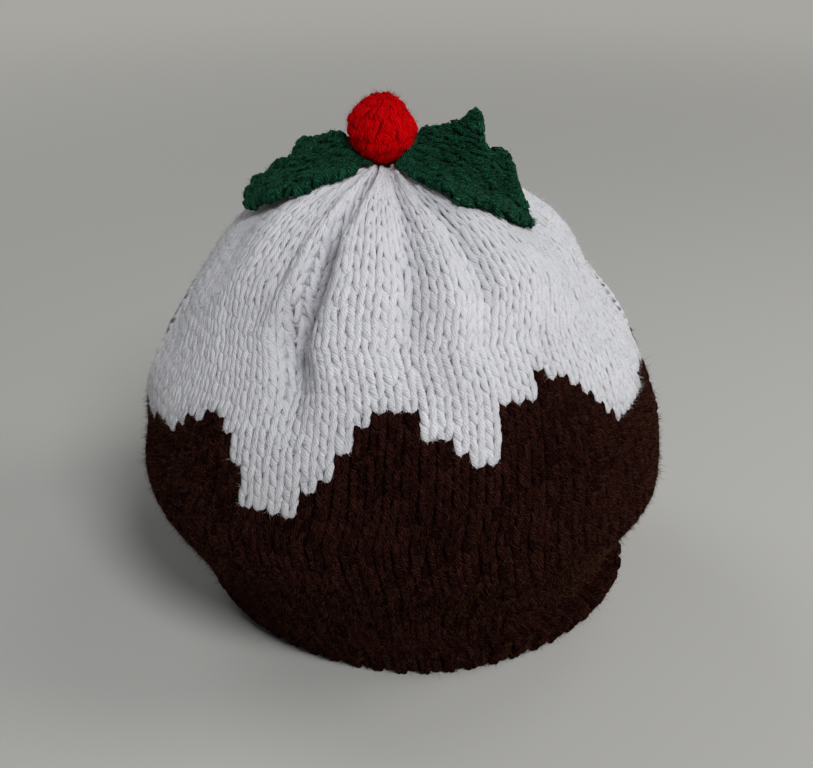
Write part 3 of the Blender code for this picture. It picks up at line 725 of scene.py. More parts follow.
def raiseFolds(side, points, acrosses, alongs, heights, width):
    # folds, creases, the openings' rolled edges and a slight unevenness
    across, along = np.meshgrid(acrosses, alongs)
    rise = np.zeros_like(across)
    for top, middle, low, halfWidth, height, fadesFrom, fadesTo in folds[side] + creases[side]:
        centre = np.interp(along, cloth["foldHeights"], (low, middle, top))
        strength = smoothStep((along - fadesTo) / (fadesFrom - fadesTo))
        rise += height * strength * np.exp(-(((across - centre) * cloth["foldGirth"] / halfWidth) ** 2))
    rise *= np.minimum(1.0, width / cloth["foldGirth"])
    for opening in cloth["openings"]:
        strength = (sideGap(heights, opening) / opening[3])[:, None]
        fromEdge = np.abs(across - opening[0]) * width / cloth["rolledEdgeWidth"]
        rise += cloth["rolledEdge"] * strength * np.exp(-(fromEdge**2))
    wobble = np.zeros_like(across)
    for (waveAcross, waveUp, shift), (crossUp, crossShift) in cloth["waves"]:
        wave = np.sin(waveAcross * across + waveUp * along + shift)
        wobble += wave * np.sin(crossUp * along + crossShift)
    sides, hem = cloth["waveMargins"]
    inner = smoothStep(across * sides) * smoothStep((1.0 - across) * sides) * smoothStep(along * hem)
    rise += cloth["unevenness"] * wobble * inner
    return points + clothNormals(points, side) * rise[..., None]


def clothNormals(points, side):
    normals = np.cross(np.gradient(points, axis=1), np.gradient(points, axis=0))
    normals = normals if side == "front" else -normals
    normals[0, :, 2] = 0.0
    normals[:, (0, -1), 1] *= cloth["edgeNormals"]
    return unit(normals)


def countRows(panel):
    # the rows that fit up the panel, and where each one lies along it
    pitch = np.interp(panel["heights"], *np.array(knitting["rowPitch"]).T)
    rate = panel["length"] / pitch
    steps = np.diff(panel["alongs"]) * (rate[1:] + rate[:-1]) / 2.0
    panel["rowsAt"] = np.concatenate([[0.0], np.cumsum(steps)])
    panel["rows"] = int(round(panel["rowsAt"][-1]))
    panel["rowsAt"] *= panel["rows"] / panel["rowsAt"][-1]


def sampleGrid(grid, column, row):
    # the grid's vectors between its points, at shares of its width and height
    rows, columns = grid.shape[:2]
    x = np.clip(column, 0.0, 1.0) * (columns - 1)
    y = np.clip(row, 0.0, 1.0) * (rows - 1)
    i = np.minimum(x.astype(int), columns - 2)
    j = np.minimum(y.astype(int), rows - 2)
    fx, fy = (x - i)[..., None], (y - j)[..., None]
    lower = grid[j, i] * (1.0 - fx) + grid[j, i + 1] * fx
    upper = grid[j + 1, i] * (1.0 - fx) + grid[j + 1, i + 1] * fx
    return lower * (1.0 - fy) + upper * fy


def panelPlace(panel, wale, row):
    # shares of the panel's width and length, and the height, at these stitch places
    along = np.interp(row, panel["rowsAt"], panel["alongs"])
    height = np.interp(along, panel["alongs"], panel["heights"])
    share = np.clip(wale / knitting["wales"], 0.0, 1.0)
    spread = np.interp(height, *np.array(knitting["spread"]).T)
    across = share + spread * np.sin(2.0 * math.pi * share) / (2.0 * math.pi)
    return across, along, height


def panelSurface(panel):
    # gives points and normals where wale and row count stitches and lift is over the cloth
    def surface(wale, row, lift):
        across, along, height = panelPlace(panel, wale, row)
        normals = unit(sampleGrid(panel["normals"], across, along))
        return sampleGrid(panel["points"], across, along) + normals * np.asarray(lift)[..., None], normals

    return surface


def panelPitch(panel, wale, row):
    # a stitch's width there, measured on the cloth, folds and all
    surface = panelSurface(panel)
    low, high = np.maximum(wale - 0.5, 0.0), np.minimum(wale + 0.5, knitting["wales"])
    flat = np.zeros(len(wale))
    return np.linalg.norm(surface(high, row, flat)[0] - surface(low, row, flat)[0], axis=-1) / (high - low)


def isIcing(panel, wale, row):
    across, along, height = panelPlace(panel, wale, row - knitting["colourShift"])
    return height > np.interp(across, *np.array(icing[panel["side"]]).T)


panels = {side: layCloth(side) for side in ("front", "back")}
for panel in panels.values():
    countRows(panel)
print("cloth laid, rows:", {side: panel["rows"] for side, panel in panels.items()})


def makeWebSheet(name, panel):
    # the plain sheet behind the stitches: two grid cells across a stitch and one up it
    wales, rows = knitting["wales"] * 2, panel["rows"]
    wale, row = np.meshgrid(np.arange(wales + 1) / 2.0, np.arange(rows + 1.0))
    surface = panelSurface(panel)
    depth = np.where(isIcing(panel, wale, row), cloth["icingWebDepth"], cloth["webDepth"])
    thickness = np.full(wale.shape, cloth["thickness"])
    points = np.stack([surface(wale, row, -below)[0] for below in (depth, thickness)])
    points[:, 0, :, 2] = 0.0
    faces, rim = sheetFaces(wale.shape)
    if panel["side"] == "back":
        faces = faces[:, ::-1]
    white = isIcing(panel, np.floor(wale[:-1, :-1]) + 0.5, np.floor(row[:-1, :-1]) + 0.5).ravel()
    # which of the three finishes each face has: the icing's outer side, its purl side or the pudding's
    whiteRim = row.ravel()[rim] > panel["rows"] / 2.0
    finish = np.concatenate([np.where(white, 1, 0), np.where(white, 2, 0), np.where(whiteRim, 2, 0)])
    places = np.stack([wale.ravel(), row.ravel()], -1)
    uvs = np.concatenate([places, places])[faces]
    # painted shade: the sheet's finishes are darker than the yarns in front of them
    materials = [finishes[web] for web in ("puddingWebShade", "icingWebShade", "icingPurlShade")]
    return makePiece(name, points, [faces], materials, "stitches", [uvs], finish)


def legStrands(surface, wale, row, pitch, path, mirror, rng, knit=knitting):
    # one strand for each stitch given, along the path's table
    path = np.array(path)
    jitterWale, jitterRow, jitterLift = knit["jitter"]
    count = len(wale)
    wander = rng.normal(0.0, jitterWale, count)[:, None]
    climb = rng.normal(0.0, jitterRow, count)[:, None]
    swell = rng.normal(0.0, jitterLift, count)[:, None]
    stout = 1.0 + rng.normal(0.0, strands["stoutness"], count)[:, None]
    waleAt = wale[:, None] + mirror * path[None, :, 0] + wander
    rowAt = row[:, None] + path[None, :, 1] + climb
    lift = path[None, :, 2] + swell * np.sin(np.linspace(0.0, math.pi, len(path)))[None, :]
    halfWidth = np.clip(pitch * knit["halfWidth"], knit["leastHalfWidth"], knit["mostHalfWidth"])
    halfWidth = halfWidth[:, None] * stout
    halfHeight = knit["halfHeight"] * np.minimum(1.0, halfWidth / strands["fullHalfWidth"])
    thickness = np.broadcast_to(path[None, :, 3], waleAt.shape)
    return strandsAlong(*surface(waleAt, rowAt, lift), thickness, halfWidth, halfHeight)


def knitStitches(surface, wale, row, pitch, path, rng, knit=knitting):
    # both legs of each stitch
    return [legStrands(surface, wale, row, pitch, path, mirror, rng, knit) for mirror in (-1.0, 1.0)]


def keepOffFloor(part):
    points, faces, uvs = part
    points[:, 2] = np.maximum(points[:, 2], strands["offFloor"])
    return points, faces, uvs


def makePanelStitches(side):
    panel = panels[side]
    surface = panelSurface(panel)
    rng = np.random.default_rng(knitting["seed"] + (side == "back"))
    wales, rows = np.arange(knitting["wales"]) + 0.5, np.arange(panel["rows"])
    wale, row = (grid.ravel() for grid in np.meshgrid(wales, rows))
    white = isIcing(panel, wale, row + 0.5)
    hem = row < knitting["hemRows"]
    purl = hem & (np.floor(wale).astype(int) % 2 == 1)
    leg = np.array(knitting["leg"])
    icingKnit = {**knitting, "halfHeight": knitting["icingHalfHeight"]}
    pieces = []
    for label, chosen, yarn, path, knit in (
        ("icing", white, "icing", knitting["icingLeg"], icingKnit),
        ("pudding", ~white & ~hem, "pudding", leg, knitting),
        ("hem", hem & ~purl, "pudding", leg + knitting["hemLeg"], knitting),
    ):
        pitch = panelPitch(panel, wale[chosen], row[chosen] + 0.5)
        parts = knitStitches(surface, wale[chosen], row[chosen], pitch, path, rng, knit)
        if label == "hem":
            pitch = panelPitch(panel, wale[purl], row[purl] + 0.5)
            parts.append(legStrands(surface, wale[purl], row[purl], pitch, knitting["purlBar"], 1.0, rng))
            low = np.zeros(len(wales))
            pitch = panelPitch(panel, wales, low) * knitting["castOnWidth"]
            parts.append(legStrands(surface, wales, low, pitch, knitting["castOn"], 1.0, rng))
            parts = [keepOffFloor(part) for part in parts]
        name = side + "_" + label + "_stitches"
        pieces.append(makeStrandPiece(name, parts, finishes[yarn + "Yarn"]))
    return pieces


sheets = {side: makeWebSheet(side + "_sheet", panels[side]) for side in panels}
stitches = {side: makePanelStitches(side) for side in panels}
print("panels knitted")

seams = {
    "edgeWrap": (  # inward, out of the face, along, thickness
        (2.4, -1.3, -1.5, 0.55), (1.2, -0.35, -0.9, 0.95), (0.15, -0.35, -0.3, 1.0),
        (-0.35, -1.4, 0.2, 1.0), (0.2, -2.6, 0.7, 0.95), (1.6, -3.1, 1.3, 0.55),
    ),
    "wrapHalfWidth": 1.25,
    "wrapHalfHeight": 0.78,
    "seamStitch": (  # wales from the seam (front then back), rows up, lift, thickness
        (0.50, 0.05, -1.1, 0.6), (0.26, 0.22, -0.62, 0.9), (0.06, 0.36, -0.60, 1.0),
        (-0.06, 0.50, -0.60, 1.0), (-0.26, 0.64, -0.62, 0.9), (-0.50, 0.82, -1.1, 0.6),
    ),
    "seamHalfWidth": 1.20,
    "seamHalfHeight": 0.62,
    "seamDrop": 0.45,  # rows by which a seam stitch starts below its own row
    "firstRow": 0.25,
    "lastRow": 0.1,  # from the top
    "rowStep": 0.5,
    "probe": (0.4, 0.3),  # wales inward and rows up by which an edge's directions are found
    "wrapsPast": 1.0,  # how far the wrapping runs on past an opening's ends
}


def panelEdge(panel, end, row):
    # the panel's edge at these rows, with its own directions
    surface = panelSurface(panel)
    wales, rows = seams["probe"]
    flat = np.zeros(len(row))
    edgeWale = flat + end * knitting["wales"]
    edge, normal = surface(edgeWale, row, flat)
    inward = unit(surface(np.abs(edgeWale - wales), row, flat)[0] - edge)
    along = unit(surface(edgeWale, row + rows, flat)[0] - surface(edgeWale, row - rows, flat)[0])
    return edge, inward, squareTo(normal, inward), along, isIcing(panel, edgeWale, row)


def sewSeam(end, sewn):
    # stitches that run from the front panel to the back one
    centres, normals = [], []
    flat = np.zeros(len(sewn))
    for wale, up, lift, _ in seams["seamStitch"]:
        panel = panels["front" if wale > 0.0 else "back"]
        at = np.abs(end * knitting["wales"] - abs(wale))
        place, normal = panelSurface(panel)(flat + at, sewn - seams["seamDrop"] + up, flat + lift)
        centres.append(place)
        normals.append(normal)
    return np.stack(centres, axis=1), np.stack(normals, axis=1)


def makeEdges():
    parts = {"icing": [], "pudding": []}
    stitchThickness = np.array(seams["seamStitch"])[:, 3]
    row = np.arange(seams["firstRow"], panels["front"]["rows"] - seams["lastRow"], seams["rowStep"])
    for end, (_, bottom, top, _) in enumerate(cloth["openings"]):
        height = panelPlace(panels["front"], np.zeros(len(row)), row)[2]
        opened = (height > bottom - seams["wrapsPast"]) & (height < top + seams["wrapsPast"])
        wrapped = opened & (np.arange(len(row)) % 2 == 0)
        for panel in panels.values():
            *edge, white = panelEdge(panel, end, row)
            for label, chosen in (("icing", wrapped & white), ("pudding", wrapped & ~white)):
                if chosen.any():
                    spots = [part[chosen] for part in edge]
                    sizes = np.full(chosen.sum(), seams["wrapHalfWidth"]), seams["wrapHalfHeight"]
                    parts[label].append(wrapStrands(*spots, seams["edgeWrap"], *sizes))
        # the sewing joins the panels below and above the opening
        sewn = row[~opened]
        centres, normals = sewSeam(end, sewn)
        white = isIcing(panels["front"], np.full(len(sewn), end * knitting["wales"]), sewn)
        for label, chosen in (("icing", white), ("pudding", ~white)):
            if chosen.any():
                thickness = np.broadcast_to(stitchThickness, (chosen.sum(), len(stitchThickness)))
                sizes = seams["seamHalfWidth"], seams["seamHalfHeight"]
                parts[label].append(strandsAlong(centres[chosen], normals[chosen], thickness, *sizes))
    parts["pudding"] = [keepOffFloor(part) for part in parts["pudding"]]
    for label in parts:
        makeStrandPiece(label + "_edges", parts[label], finishes[label + "Yarn"])


makeEdges()
print("seams sewn")

berry = {
    "place": (-5.4, -0.4, 148.5),
    "profile": (  # height, radius, lean
        (0.0, 0.0, -1.6), (0.6, 2.7, -1.5), (2.1, 5.2, -1.2), (4.8, 8.3, -0.5), (7.4, 10.0, -0.1),
        (10.2, 10.3, -0.5), (13.2, 9.8, -1.1), (16.4, 8.2, -1.3), (19.1, 5.9, -0.9), (21.0, 3.6, -0.5),
        (21.8, 0.0, -0.4),
    ),
    "wales": 16,
    "rows": 9,
    "swirl": 0.26,  # turns by which the wales wind from bottom to top
    "knit": {
        "halfWidth": 0.31, "leastHalfWidth": 0.4, "mostHalfWidth": 1.25, "halfHeight": 0.85,
        "jitter": (0.08, 0.12, 0.24),
    },
    "probe": 0.01,  # share of the profile's length either way between which its slope is read
    "seed": 31,
    "ballDepth": 1.0,  # how far the stuffed ball lies below the berry's outer face
    "ballSides": 32,
    "ballRings": 18,
    "ballEnds": 0.02,  # share of the height at which its first ring lies
    "fill": 0.9,
}
berryProfile = np.array(berry["profile"])
berryStations = reachAlong(berryProfile[:, :2])
berryStations /= berryStations[-1]


def berryPath(share):
    share = np.clip(share, 0.0, 1.0)
    return smoothPath(berryProfile, berryStations, share.ravel()).reshape(share.shape + (3,))


def berrySurface(wale, row, lift):
    wale, row, lift = np.broadcast_arrays(wale, row, lift)
    share = np.clip(row / berry["rows"], 0.0, 1.0)
    turn = 2.0 * math.pi * (wale / berry["wales"] + berry["swirl"] * share)
    height, radius, lean = np.moveaxis(berryPath(share), -1, 0)
    slope = unit(berryPath(share + berry["probe"]) - berryPath(share - berry["probe"]))
    climb, widening, _ = np.moveaxis(slope, -1, 0)
    normals = np.stack([climb * np.cos(turn), climb * np.sin(turn), -widening], axis=-1)
    points = np.stack([lean + radius * np.cos(turn), radius * np.sin(turn), height], axis=-1)
    return points + np.array(berry["place"]) + normals * lift[..., None], normals


def makeBerry():
    rng = np.random.default_rng(berry["seed"])
    wales, rows = np.arange(berry["wales"]) + 0.5, np.arange(berry["rows"])
    wale, row = (grid.ravel() for grid in np.meshgrid(wales, rows))
    pitch = 2.0 * math.pi * berryPath((row + 0.5) / berry["rows"])[:, 1] / berry["wales"]
    parts = knitStitches(berrySurface, wale, row, pitch, knitting["leg"], rng, berry["knit"])
    makeStrandPiece("berry_stitches", parts, finishes["berryYarn"])
    return makeBall()


def makeBall():
    # the stuffed ball inside the stitches: its rings of points, then its two ends
    sides, rings = berry["ballSides"], berry["ballRings"]
    heights = np.linspace(berry["ballEnds"], 1.0 - berry["ballEnds"], rings)
    wale, row = np.meshgrid(np.arange(sides) * berry["wales"] / sides, heights * berry["rows"])
    wale, row = np.append(wale, [0.0, 0.0]), np.append(row, [0.0, berry["rows"]])
    points = berrySurface(wale, row, np.full(wale.shape, -berry["ballDepth"]))[0]
    index = np.arange(sides * rings).reshape(rings, sides)
    after = np.roll(index, -1, axis=1)
    quads = np.stack([index[:-1], after[:-1], after[1:], index[1:]], -1).reshape(-1, 4)
    low = np.stack([np.full(sides, index.size), after[0], index[0]], -1)
    high = np.stack([np.full(sides, index.size + 1), index[-1], after[-1]], -1)
    triangles = np.concatenate([low, high])
    places = np.stack([wale, row], -1)
    uvs = [places[triangles], places[quads]]
    # painted shade: the ball is a darker red than the berry's yarn, as the shade behind the stitches
    ball = makePiece("berry_ball", points, [triangles, quads], [finishes["berryWebShade"]], "stitches", uvs)
    return ball


berryBall = makeBerry()
print("berry knitted")

leafKnit = {
    "thickness": 2.8,
    "clearance": 0.2,  # off the icing
    "berryClearance": -1.6,  # below 0, so that the roots run in under the berry
    "sectionSteps": 81,
    "runRows": 2,  # grid rows either way between which the midrib's direction is read
    "bendWidth": 9.0,  # the width over which the near side's fall turns into the far side's rise
    "groundFrom": 0.72,  # share of the panels' length from which they can lie below a leaf
    "groundSpread": 1.4,
    "pitch": 2.7,  # a stitch's width
    "rowPitch": 2.55,
    "knit": {
        "halfWidth": 0.28, "leastHalfWidth": 0.5, "mostHalfWidth": 0.9, "halfHeight": 0.72,
        "jitter": (0.13, 0.17, 0.28),
    },
    "mostWales": 12,  # on each side of the midrib
    "reach": 0.97,  # share of the half width to which stitches and hairs are kept
    "edgeMargin": 0.45,  # wales left free beside the edge
    "liftShare": 0.62,  # the panels' stitches are used here, flatter and sunk a little into the leaf
    "sunk": 0.1,
    "ripples": 3.3,
    "ripple": 0.75,
    "rippleSlant": (2.2, 4.1, 5.0),
    "rippleFades": 6.0,  # the ripples die out over a sixth of the leaf at its root
    "webUpper": 0.35,  # the plain sheet's two faces, over the middle layer
    "webLower": -1.05,
    "rootTargets": {"leaf_right": (-1.0, -9.2, 150.6), "leaf_left": (-9.8, -6.6, 150.6)},
    "rootStrands": 9,
    "rootSpread": (0.8, 0.8, 0.2),  # how much the ends vary along x, y and z
    "rootLift": (0.9, 0.7),  # over the leaf and over the icing
    "rootFacing": (0.0, -0.5, 0.87),
    "rootThickness": (0.8, 1.0, 1.0, 1.0, 0.9, 0.6),
    "edgeSpacing": 2.3,
    "edgeJitter": 0.3,  # of that spacing
    "edgeReach": (-0.7, 0.5),  # how far the knobs stand back from the rim or out of it
    "edgeProbe": 0.8,
    "edgeStoutness": 0.16,
    "edgeInset": 3,  # grid points from the rim to where the edge's stitches point
    "edgeWrap": (  # inward, out of the face, along, thickness
        (2.3, 0.55, -1.1, 0.6), (1.1, 1.15, -0.7, 0.95), (0.1, 0.95, -0.2, 1.05),
        (-0.25, 0.0, 0.2, 1.05), (0.15, -0.95, 0.6, 0.95), (1.5, -1.05, 1.1, 0.6),
    ),
    "edgeHalfWidth": 1.0,
    "edgeHalfHeight": 0.74,
    "gridRows": 53,
    "gridColumns": 33,
    "seed": 50,
}
leaves = {  # midrib points; then along, near, far, near fall and far rise
    "leaf_right": (
        (
            (1.4, -7.8, 151.6), (11.0, -10.5, 151.2), (23.0, -14.5, 147.6), (33.2, -18.4, 140.2),
            (36.4, -23.0, 132.6),
        ),
        (
            (0.00, 3.0, 5.0, 20, 40), (0.08, 6.5, 10.5, 22, 55), (0.20, 9.5, 12.0, 24, 62),
            (0.33, 12.0, 15.0, 26, 64), (0.41, 13.5, 19.5, 26, 66), (0.45, 14.0, 18.5, 26, 64),
            (0.48, 14.0, 11.5, 26, 62), (0.54, 13.0, 10.5, 26, 60), (0.60, 12.0, 12.5, 28, 58),
            (0.66, 11.0, 13.0, 28, 56), (0.72, 9.5, 9.8, 28, 54), (0.83, 7.0, 4.6, 28, 45),
            (0.92, 6.0, 3.6, 26, 40), (1.00, 4.6, 3.0, 24, 35),
        ),
    ),
    "leaf_left": (
        (
            (-14.5, -3.5, 152.0), (-24.0, -5.0, 150.8), (-34.0, -6.0, 148.0), (-43.0, -6.5, 142.8),
            (-47.6, -7.0, 138.8),
        ),
        (
            (0.00, 6.5, 5.0, 16, 30), (0.08, 8.8, 9.0, 18, 36), (0.20, 10.4, 10.5, 18, 32),
            (0.32, 11.5, 11.5, 16, 24), (0.40, 13.0, 13.0, 16, 20), (0.46, 12.5, 12.8, 16, 18),
            (0.51, 12.0, 7.2, 18, 14), (0.58, 11.5, 6.2, 18, 14), (0.66, 11.0, 8.4, 18, 14),
            (0.73, 9.5, 9.5, 18, 12), (0.80, 8.0, 6.0, 18, 10), (0.90, 6.0, 5.5, 18, 10),
            (1.00, 4.0, 4.0, 18, 8),
        ),
    ),
}


def leafGround():
    # points of the panels' tops, on which the leaves lie: every second row and every fourth column
    first = int(leafKnit["groundFrom"] * (cloth["gridRows"] - 1))
    return np.concatenate([panel["points"][first::2, ::4].reshape(-1, 3) for panel in panels.values()])


def riseOver(point, ground, room):
    # the least height at which a point clears the cloth below it
    below = ground[np.hypot(ground[:, 0] - point[0], ground[:, 1] - point[1]) < leafKnit["groundSpread"]]
    return max(point[2], below[:, 2].max() + room) if len(below) else point[2]


def clearPoint(point, ground):
    # lift a leaf's point off the cloth below it and push it off the berry
    room = leafKnit["thickness"] / 2.0 + leafKnit["clearance"]
    point[2] = riseOver(point, ground, room)
    centre = np.array(berry["place"]) + (0.0, 0.0, berryProfile[-1, 0] / 2.0)
    away = point - centre
    room += berryProfile[:, 1].max() + leafKnit["berryClearance"]
    if np.linalg.norm(away) < room:
        flat = np.array([away[0], away[1], 0.0])
        needed = math.sqrt(max(room * room - away[2] * away[2], 0.0))
        point = point + flat / np.linalg.norm(flat) * (needed - np.linalg.norm(flat))
    return point


def runningTotal(values, steps):
    return np.concatenate([[0.0], np.cumsum((values[1:] + values[:-1]) / 2.0 * steps)])


def leafSection(near, far, fall, rise):
    # how far out and up a section across the leaf runs, by its width from the midrib
    widths = np.linspace(-near, far, leafKnit["sectionSteps"])
    slope = np.radians(fall + (rise - fall) * smoothStep(widths / leafKnit["bendWidth"] + 0.5))
    steps = np.diff(widths)
    out, up = runningTotal(np.cos(slope), steps), runningTotal(np.sin(slope), steps)
    return widths, out - np.interp(0.0, widths, out), up - np.interp(0.0, widths, up)


def layLeaf(name, ground):
    # a grid of the leaf's middle layer, with its normals
    midrib, rows = (np.array(table, dtype=float) for table in leaves[name])
    lengths = reachAlong(midrib)
    stations = np.linspace(0.0, 1.0, leafKnit["gridRows"])
    shares = np.linspace(-1.0, 1.0, leafKnit["gridColumns"])
    centres = smoothPath(midrib, lengths / lengths[-1], stations)
    near, far, fall, rise = (np.interp(stations, rows[:, 0], rows[:, k]) for k in (1, 2, 3, 4))
    grid = np.zeros((len(stations), len(shares), 3))
    for index in range(len(stations)):
        before = max(index - leafKnit["runRows"], 0)
        after = min(index + leafKnit["runRows"], len(stations) - 1)
        run = unit((centres[after] - centres[before])[:2])
        away = np.array([-run[1], run[0], 0.0])
        away *= math.copysign(1.0, away[1])
        widths, out, up = leafSection(near[index], far[index], fall[index], rise[index])
        for strip, share in enumerate(shares):
            width = share * (near[index] if share < 0.0 else far[index])
            point = centres[index] + away * np.interp(width, widths, out)
            point[2] += np.interp(width, widths, up)
            grid[index, strip] = clearPoint(point, ground)
    across, along = np.meshgrid(shares, stations)
    slant, crossing, crossingUp = leafKnit["rippleSlant"]
    ripple = np.sin(leafKnit["ripples"] * 2.0 * math.pi * along + slant * across)
    ripple *= np.sin(crossing * across + crossingUp * along)
    ripple *= leafKnit["ripple"] * smoothStep(along * leafKnit["rippleFades"])
    grid += leafNormals(grid) * ripple[..., None]
    return {
        "grid": grid, "normals": leafNormals(grid), "near": near, "far": far,
        "stations": stations, "length": lengths[-1],
    }


def leafNormals(grid):
    normals = unit(np.cross(np.gradient(grid, axis=0), np.gradient(grid, axis=1)))
    return normals * np.sign(normals[:, :, 2].sum())


def leafSurface(leaf):
    # like the panel's: wales count from the midrib, and rows from the root
    def surface(wale, row, lift):
        wale, row, lift = np.broadcast_arrays(wale, row, lift)
        along = np.clip(row * leafKnit["rowPitch"] / leaf["length"], 0.0, 1.0)
        width = wale * leafKnit["pitch"]
        near = np.interp(along, leaf["stations"], leaf["near"])
        far = np.interp(along, leaf["stations"], leaf["far"])
        reach = leafKnit["reach"]
        share = np.clip(np.where(width < 0.0, width / near, width / far), -reach, reach)
        normals = unit(sampleGrid(leaf["normals"], (share + 1.0) / 2.0, along))
        return sampleGrid(leaf["grid"], (share + 1.0) / 2.0, along) + normals * lift[..., None], normals

    return surface


def leafWidths(leaf, row):
    # wales from the midrib to the leaf's near and far edges at a row
    along = row * leafKnit["rowPitch"] / leaf["length"]
    return [np.interp(along, leaf["stations"], leaf[side]) / leafKnit["pitch"] for side in ("near", "far")]


def tuckRoot(name, leaf, ground, rng):
    # the yarn ends that hold the leaf's root under the berry
    inset = leafKnit["edgeInset"]
    columns = np.linspace(inset, leafKnit["gridColumns"] - 1 - inset, leafKnit["rootStrands"]).astype(int)
    overLeaf, overIcing = leafKnit["rootLift"]
    starts = leaf["grid"][inset, columns] + leaf["normals"][inset, columns] * overLeaf
    ends = rng.normal(0.0, leafKnit["rootSpread"], (len(columns), 3)) + leafKnit["rootTargets"][name]
    thickness = np.array(leafKnit["rootThickness"])
    steps = np.linspace(0.0, 1.0, len(thickness))[None, :, None]
    centres = starts[:, None] * (1.0 - steps) + ends[:, None] * steps
    for point in centres.reshape(-1, 3):
        point[2] = riseOver(point, ground, overIcing)
    normals = np.broadcast_to(np.array(leafKnit["rootFacing"]), centres.shape)
    thickness = np.broadcast_to(thickness, centres.shape[:2])
    return strandsAlong(centres, normals, thickness, leafKnit["edgeHalfWidth"], leafKnit["edgeHalfHeight"])


def knitLeaf(name, leaf, surface, ground, rng):
    wales, rows = [], []
    for row in range(int(leaf["length"] / leafKnit["rowPitch"])):
        near, far = leafWidths(leaf, row + 0.5)
        for wale in np.arange(-leafKnit["mostWales"], leafKnit["mostWales"]) + 0.5:
            if -near + leafKnit["edgeMargin"] < wale < far - leafKnit["edgeMargin"]:
                wales.append(wale)
                rows.append(float(row))
    path = np.array(knitting["leg"])
    path[:, 2] = path[:, 2] * leafKnit["liftShare"] + leafKnit["thickness"] / 2.0 - leafKnit["sunk"]
    pitch = np.full(len(wales), leafKnit["pitch"])
    parts = knitStitches(surface, np.array(wales), np.array(rows), pitch, path, rng, leafKnit["knit"])
    parts.append(tuckRoot(name, leaf, ground, rng))
    return makeStrandPiece(name + "_stitches", parts, finishes["leafYarn"])


def knitLeafEdge(name, leaf, rng):
    # knobbly stitches wrapped all round the rim
    grid, normals = leaf["grid"], leaf["normals"]
    middle, inset = grid.shape[1] // 2, leafKnit["edgeInset"]
    rim, rimNormals = gridRim(grid), gridRim(normals)
    tip = np.repeat(grid[-inset:, middle][:1], grid.shape[1] - 1, axis=0)
    root = np.repeat(grid[inset - 1 : inset, middle], grid.shape[1] - 2, axis=0)
    inner = np.concatenate([grid[:, inset], tip, grid[-2::-1, -1 - inset], root])
    distance = reachAlong(np.concatenate([rim, rim[:1]]))
    knobs = int(distance[-1] / leafKnit["edgeSpacing"])
    jitter = rng.uniform(-leafKnit["edgeJitter"], leafKnit["edgeJitter"], knobs)
    places = (np.arange(knobs) + 0.5 + jitter) * distance[-1] / knobs

    def around(values, at):
        closed = np.concatenate([values, values[:1]])
        return np.stack([np.interp(at % distance[-1], distance, closed[:, k]) for k in range(3)], axis=-1)

    spots, inside = around(rim, places), around(inner, places)
    edge = spots + unit(spots - inside) * rng.uniform(*leafKnit["edgeReach"], (knobs, 1))
    probe = leafKnit["edgeProbe"]
    along = unit(around(rim, places + probe) - around(rim, places - probe))
    inward = squareTo(inside - edge, along)
    normal = squareTo(unit(around(rimNormals, places)), inward)
    halfWidth = leafKnit["edgeHalfWidth"] * (1.0 + rng.normal(0.0, leafKnit["edgeStoutness"], knobs))
    sizes = halfWidth, leafKnit["edgeHalfHeight"]
    wrap = wrapStrands(edge, inward, normal, along, leafKnit["edgeWrap"], *sizes)
    return makeStrandPiece(name + "_edge", [wrap], finishes["leafYarn"])


def makeLeafSheet(name, leaf):
    # the plain sheet between the stitches
    grid, normals = leaf["grid"], leaf["normals"]
    points = np.stack([grid + normals * leafKnit[side] for side in ("webUpper", "webLower")]).reshape(-1, 3)
    faces = sheetFaces(grid.shape[:2])[0]
    a, b, c = points[faces[0, :3]]
    if np.dot(np.cross(b - a, c - a), normals[0, 0]) < 0.0:
        faces = faces[:, ::-1]
    shares = np.linspace(-1.0, 1.0, grid.shape[1])[None, :]
    widths = np.where(shares < 0.0, leaf["near"][:, None], leaf["far"][:, None]) * shares
    rows = np.broadcast_to(leaf["stations"][:, None] * leaf["length"] / leafKnit["rowPitch"], widths.shape)
    places = np.stack([widths / leafKnit["pitch"], rows], -1).reshape(-1, 2)
    uvs = np.concatenate([places, places])[faces]
    # painted shade: the sheet is a darker green than the leaf's yarn, as the shade behind the stitches
    sheet = makePiece(name + "_sheet", points, [faces], [finishes["leafWebShade"]], "stitches", [uvs])
    return sheet


def makeLeaf(name, ground, seed):
    rng = np.random.default_rng(seed)
    leaf = layLeaf(name, ground)
    surface = leafSurface(leaf)
    sewn = [knitLeaf(name, leaf, surface, ground, rng), knitLeafEdge(name, leaf, rng)]
    sheet = makeLeafSheet(name, leaf)
    widths = leaf["near"] + leaf["far"]
    area = float(np.sum(widths[:-1]) * leaf["length"] / (len(widths) - 1)) * mm * mm
    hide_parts(name)
    return surface, leaf


ground = leafGround()
laidLeaves = [makeLeaf(name, ground, leafKnit["seed"] + k) for k, name in enumerate(leaves)]
print("leaves knitted")

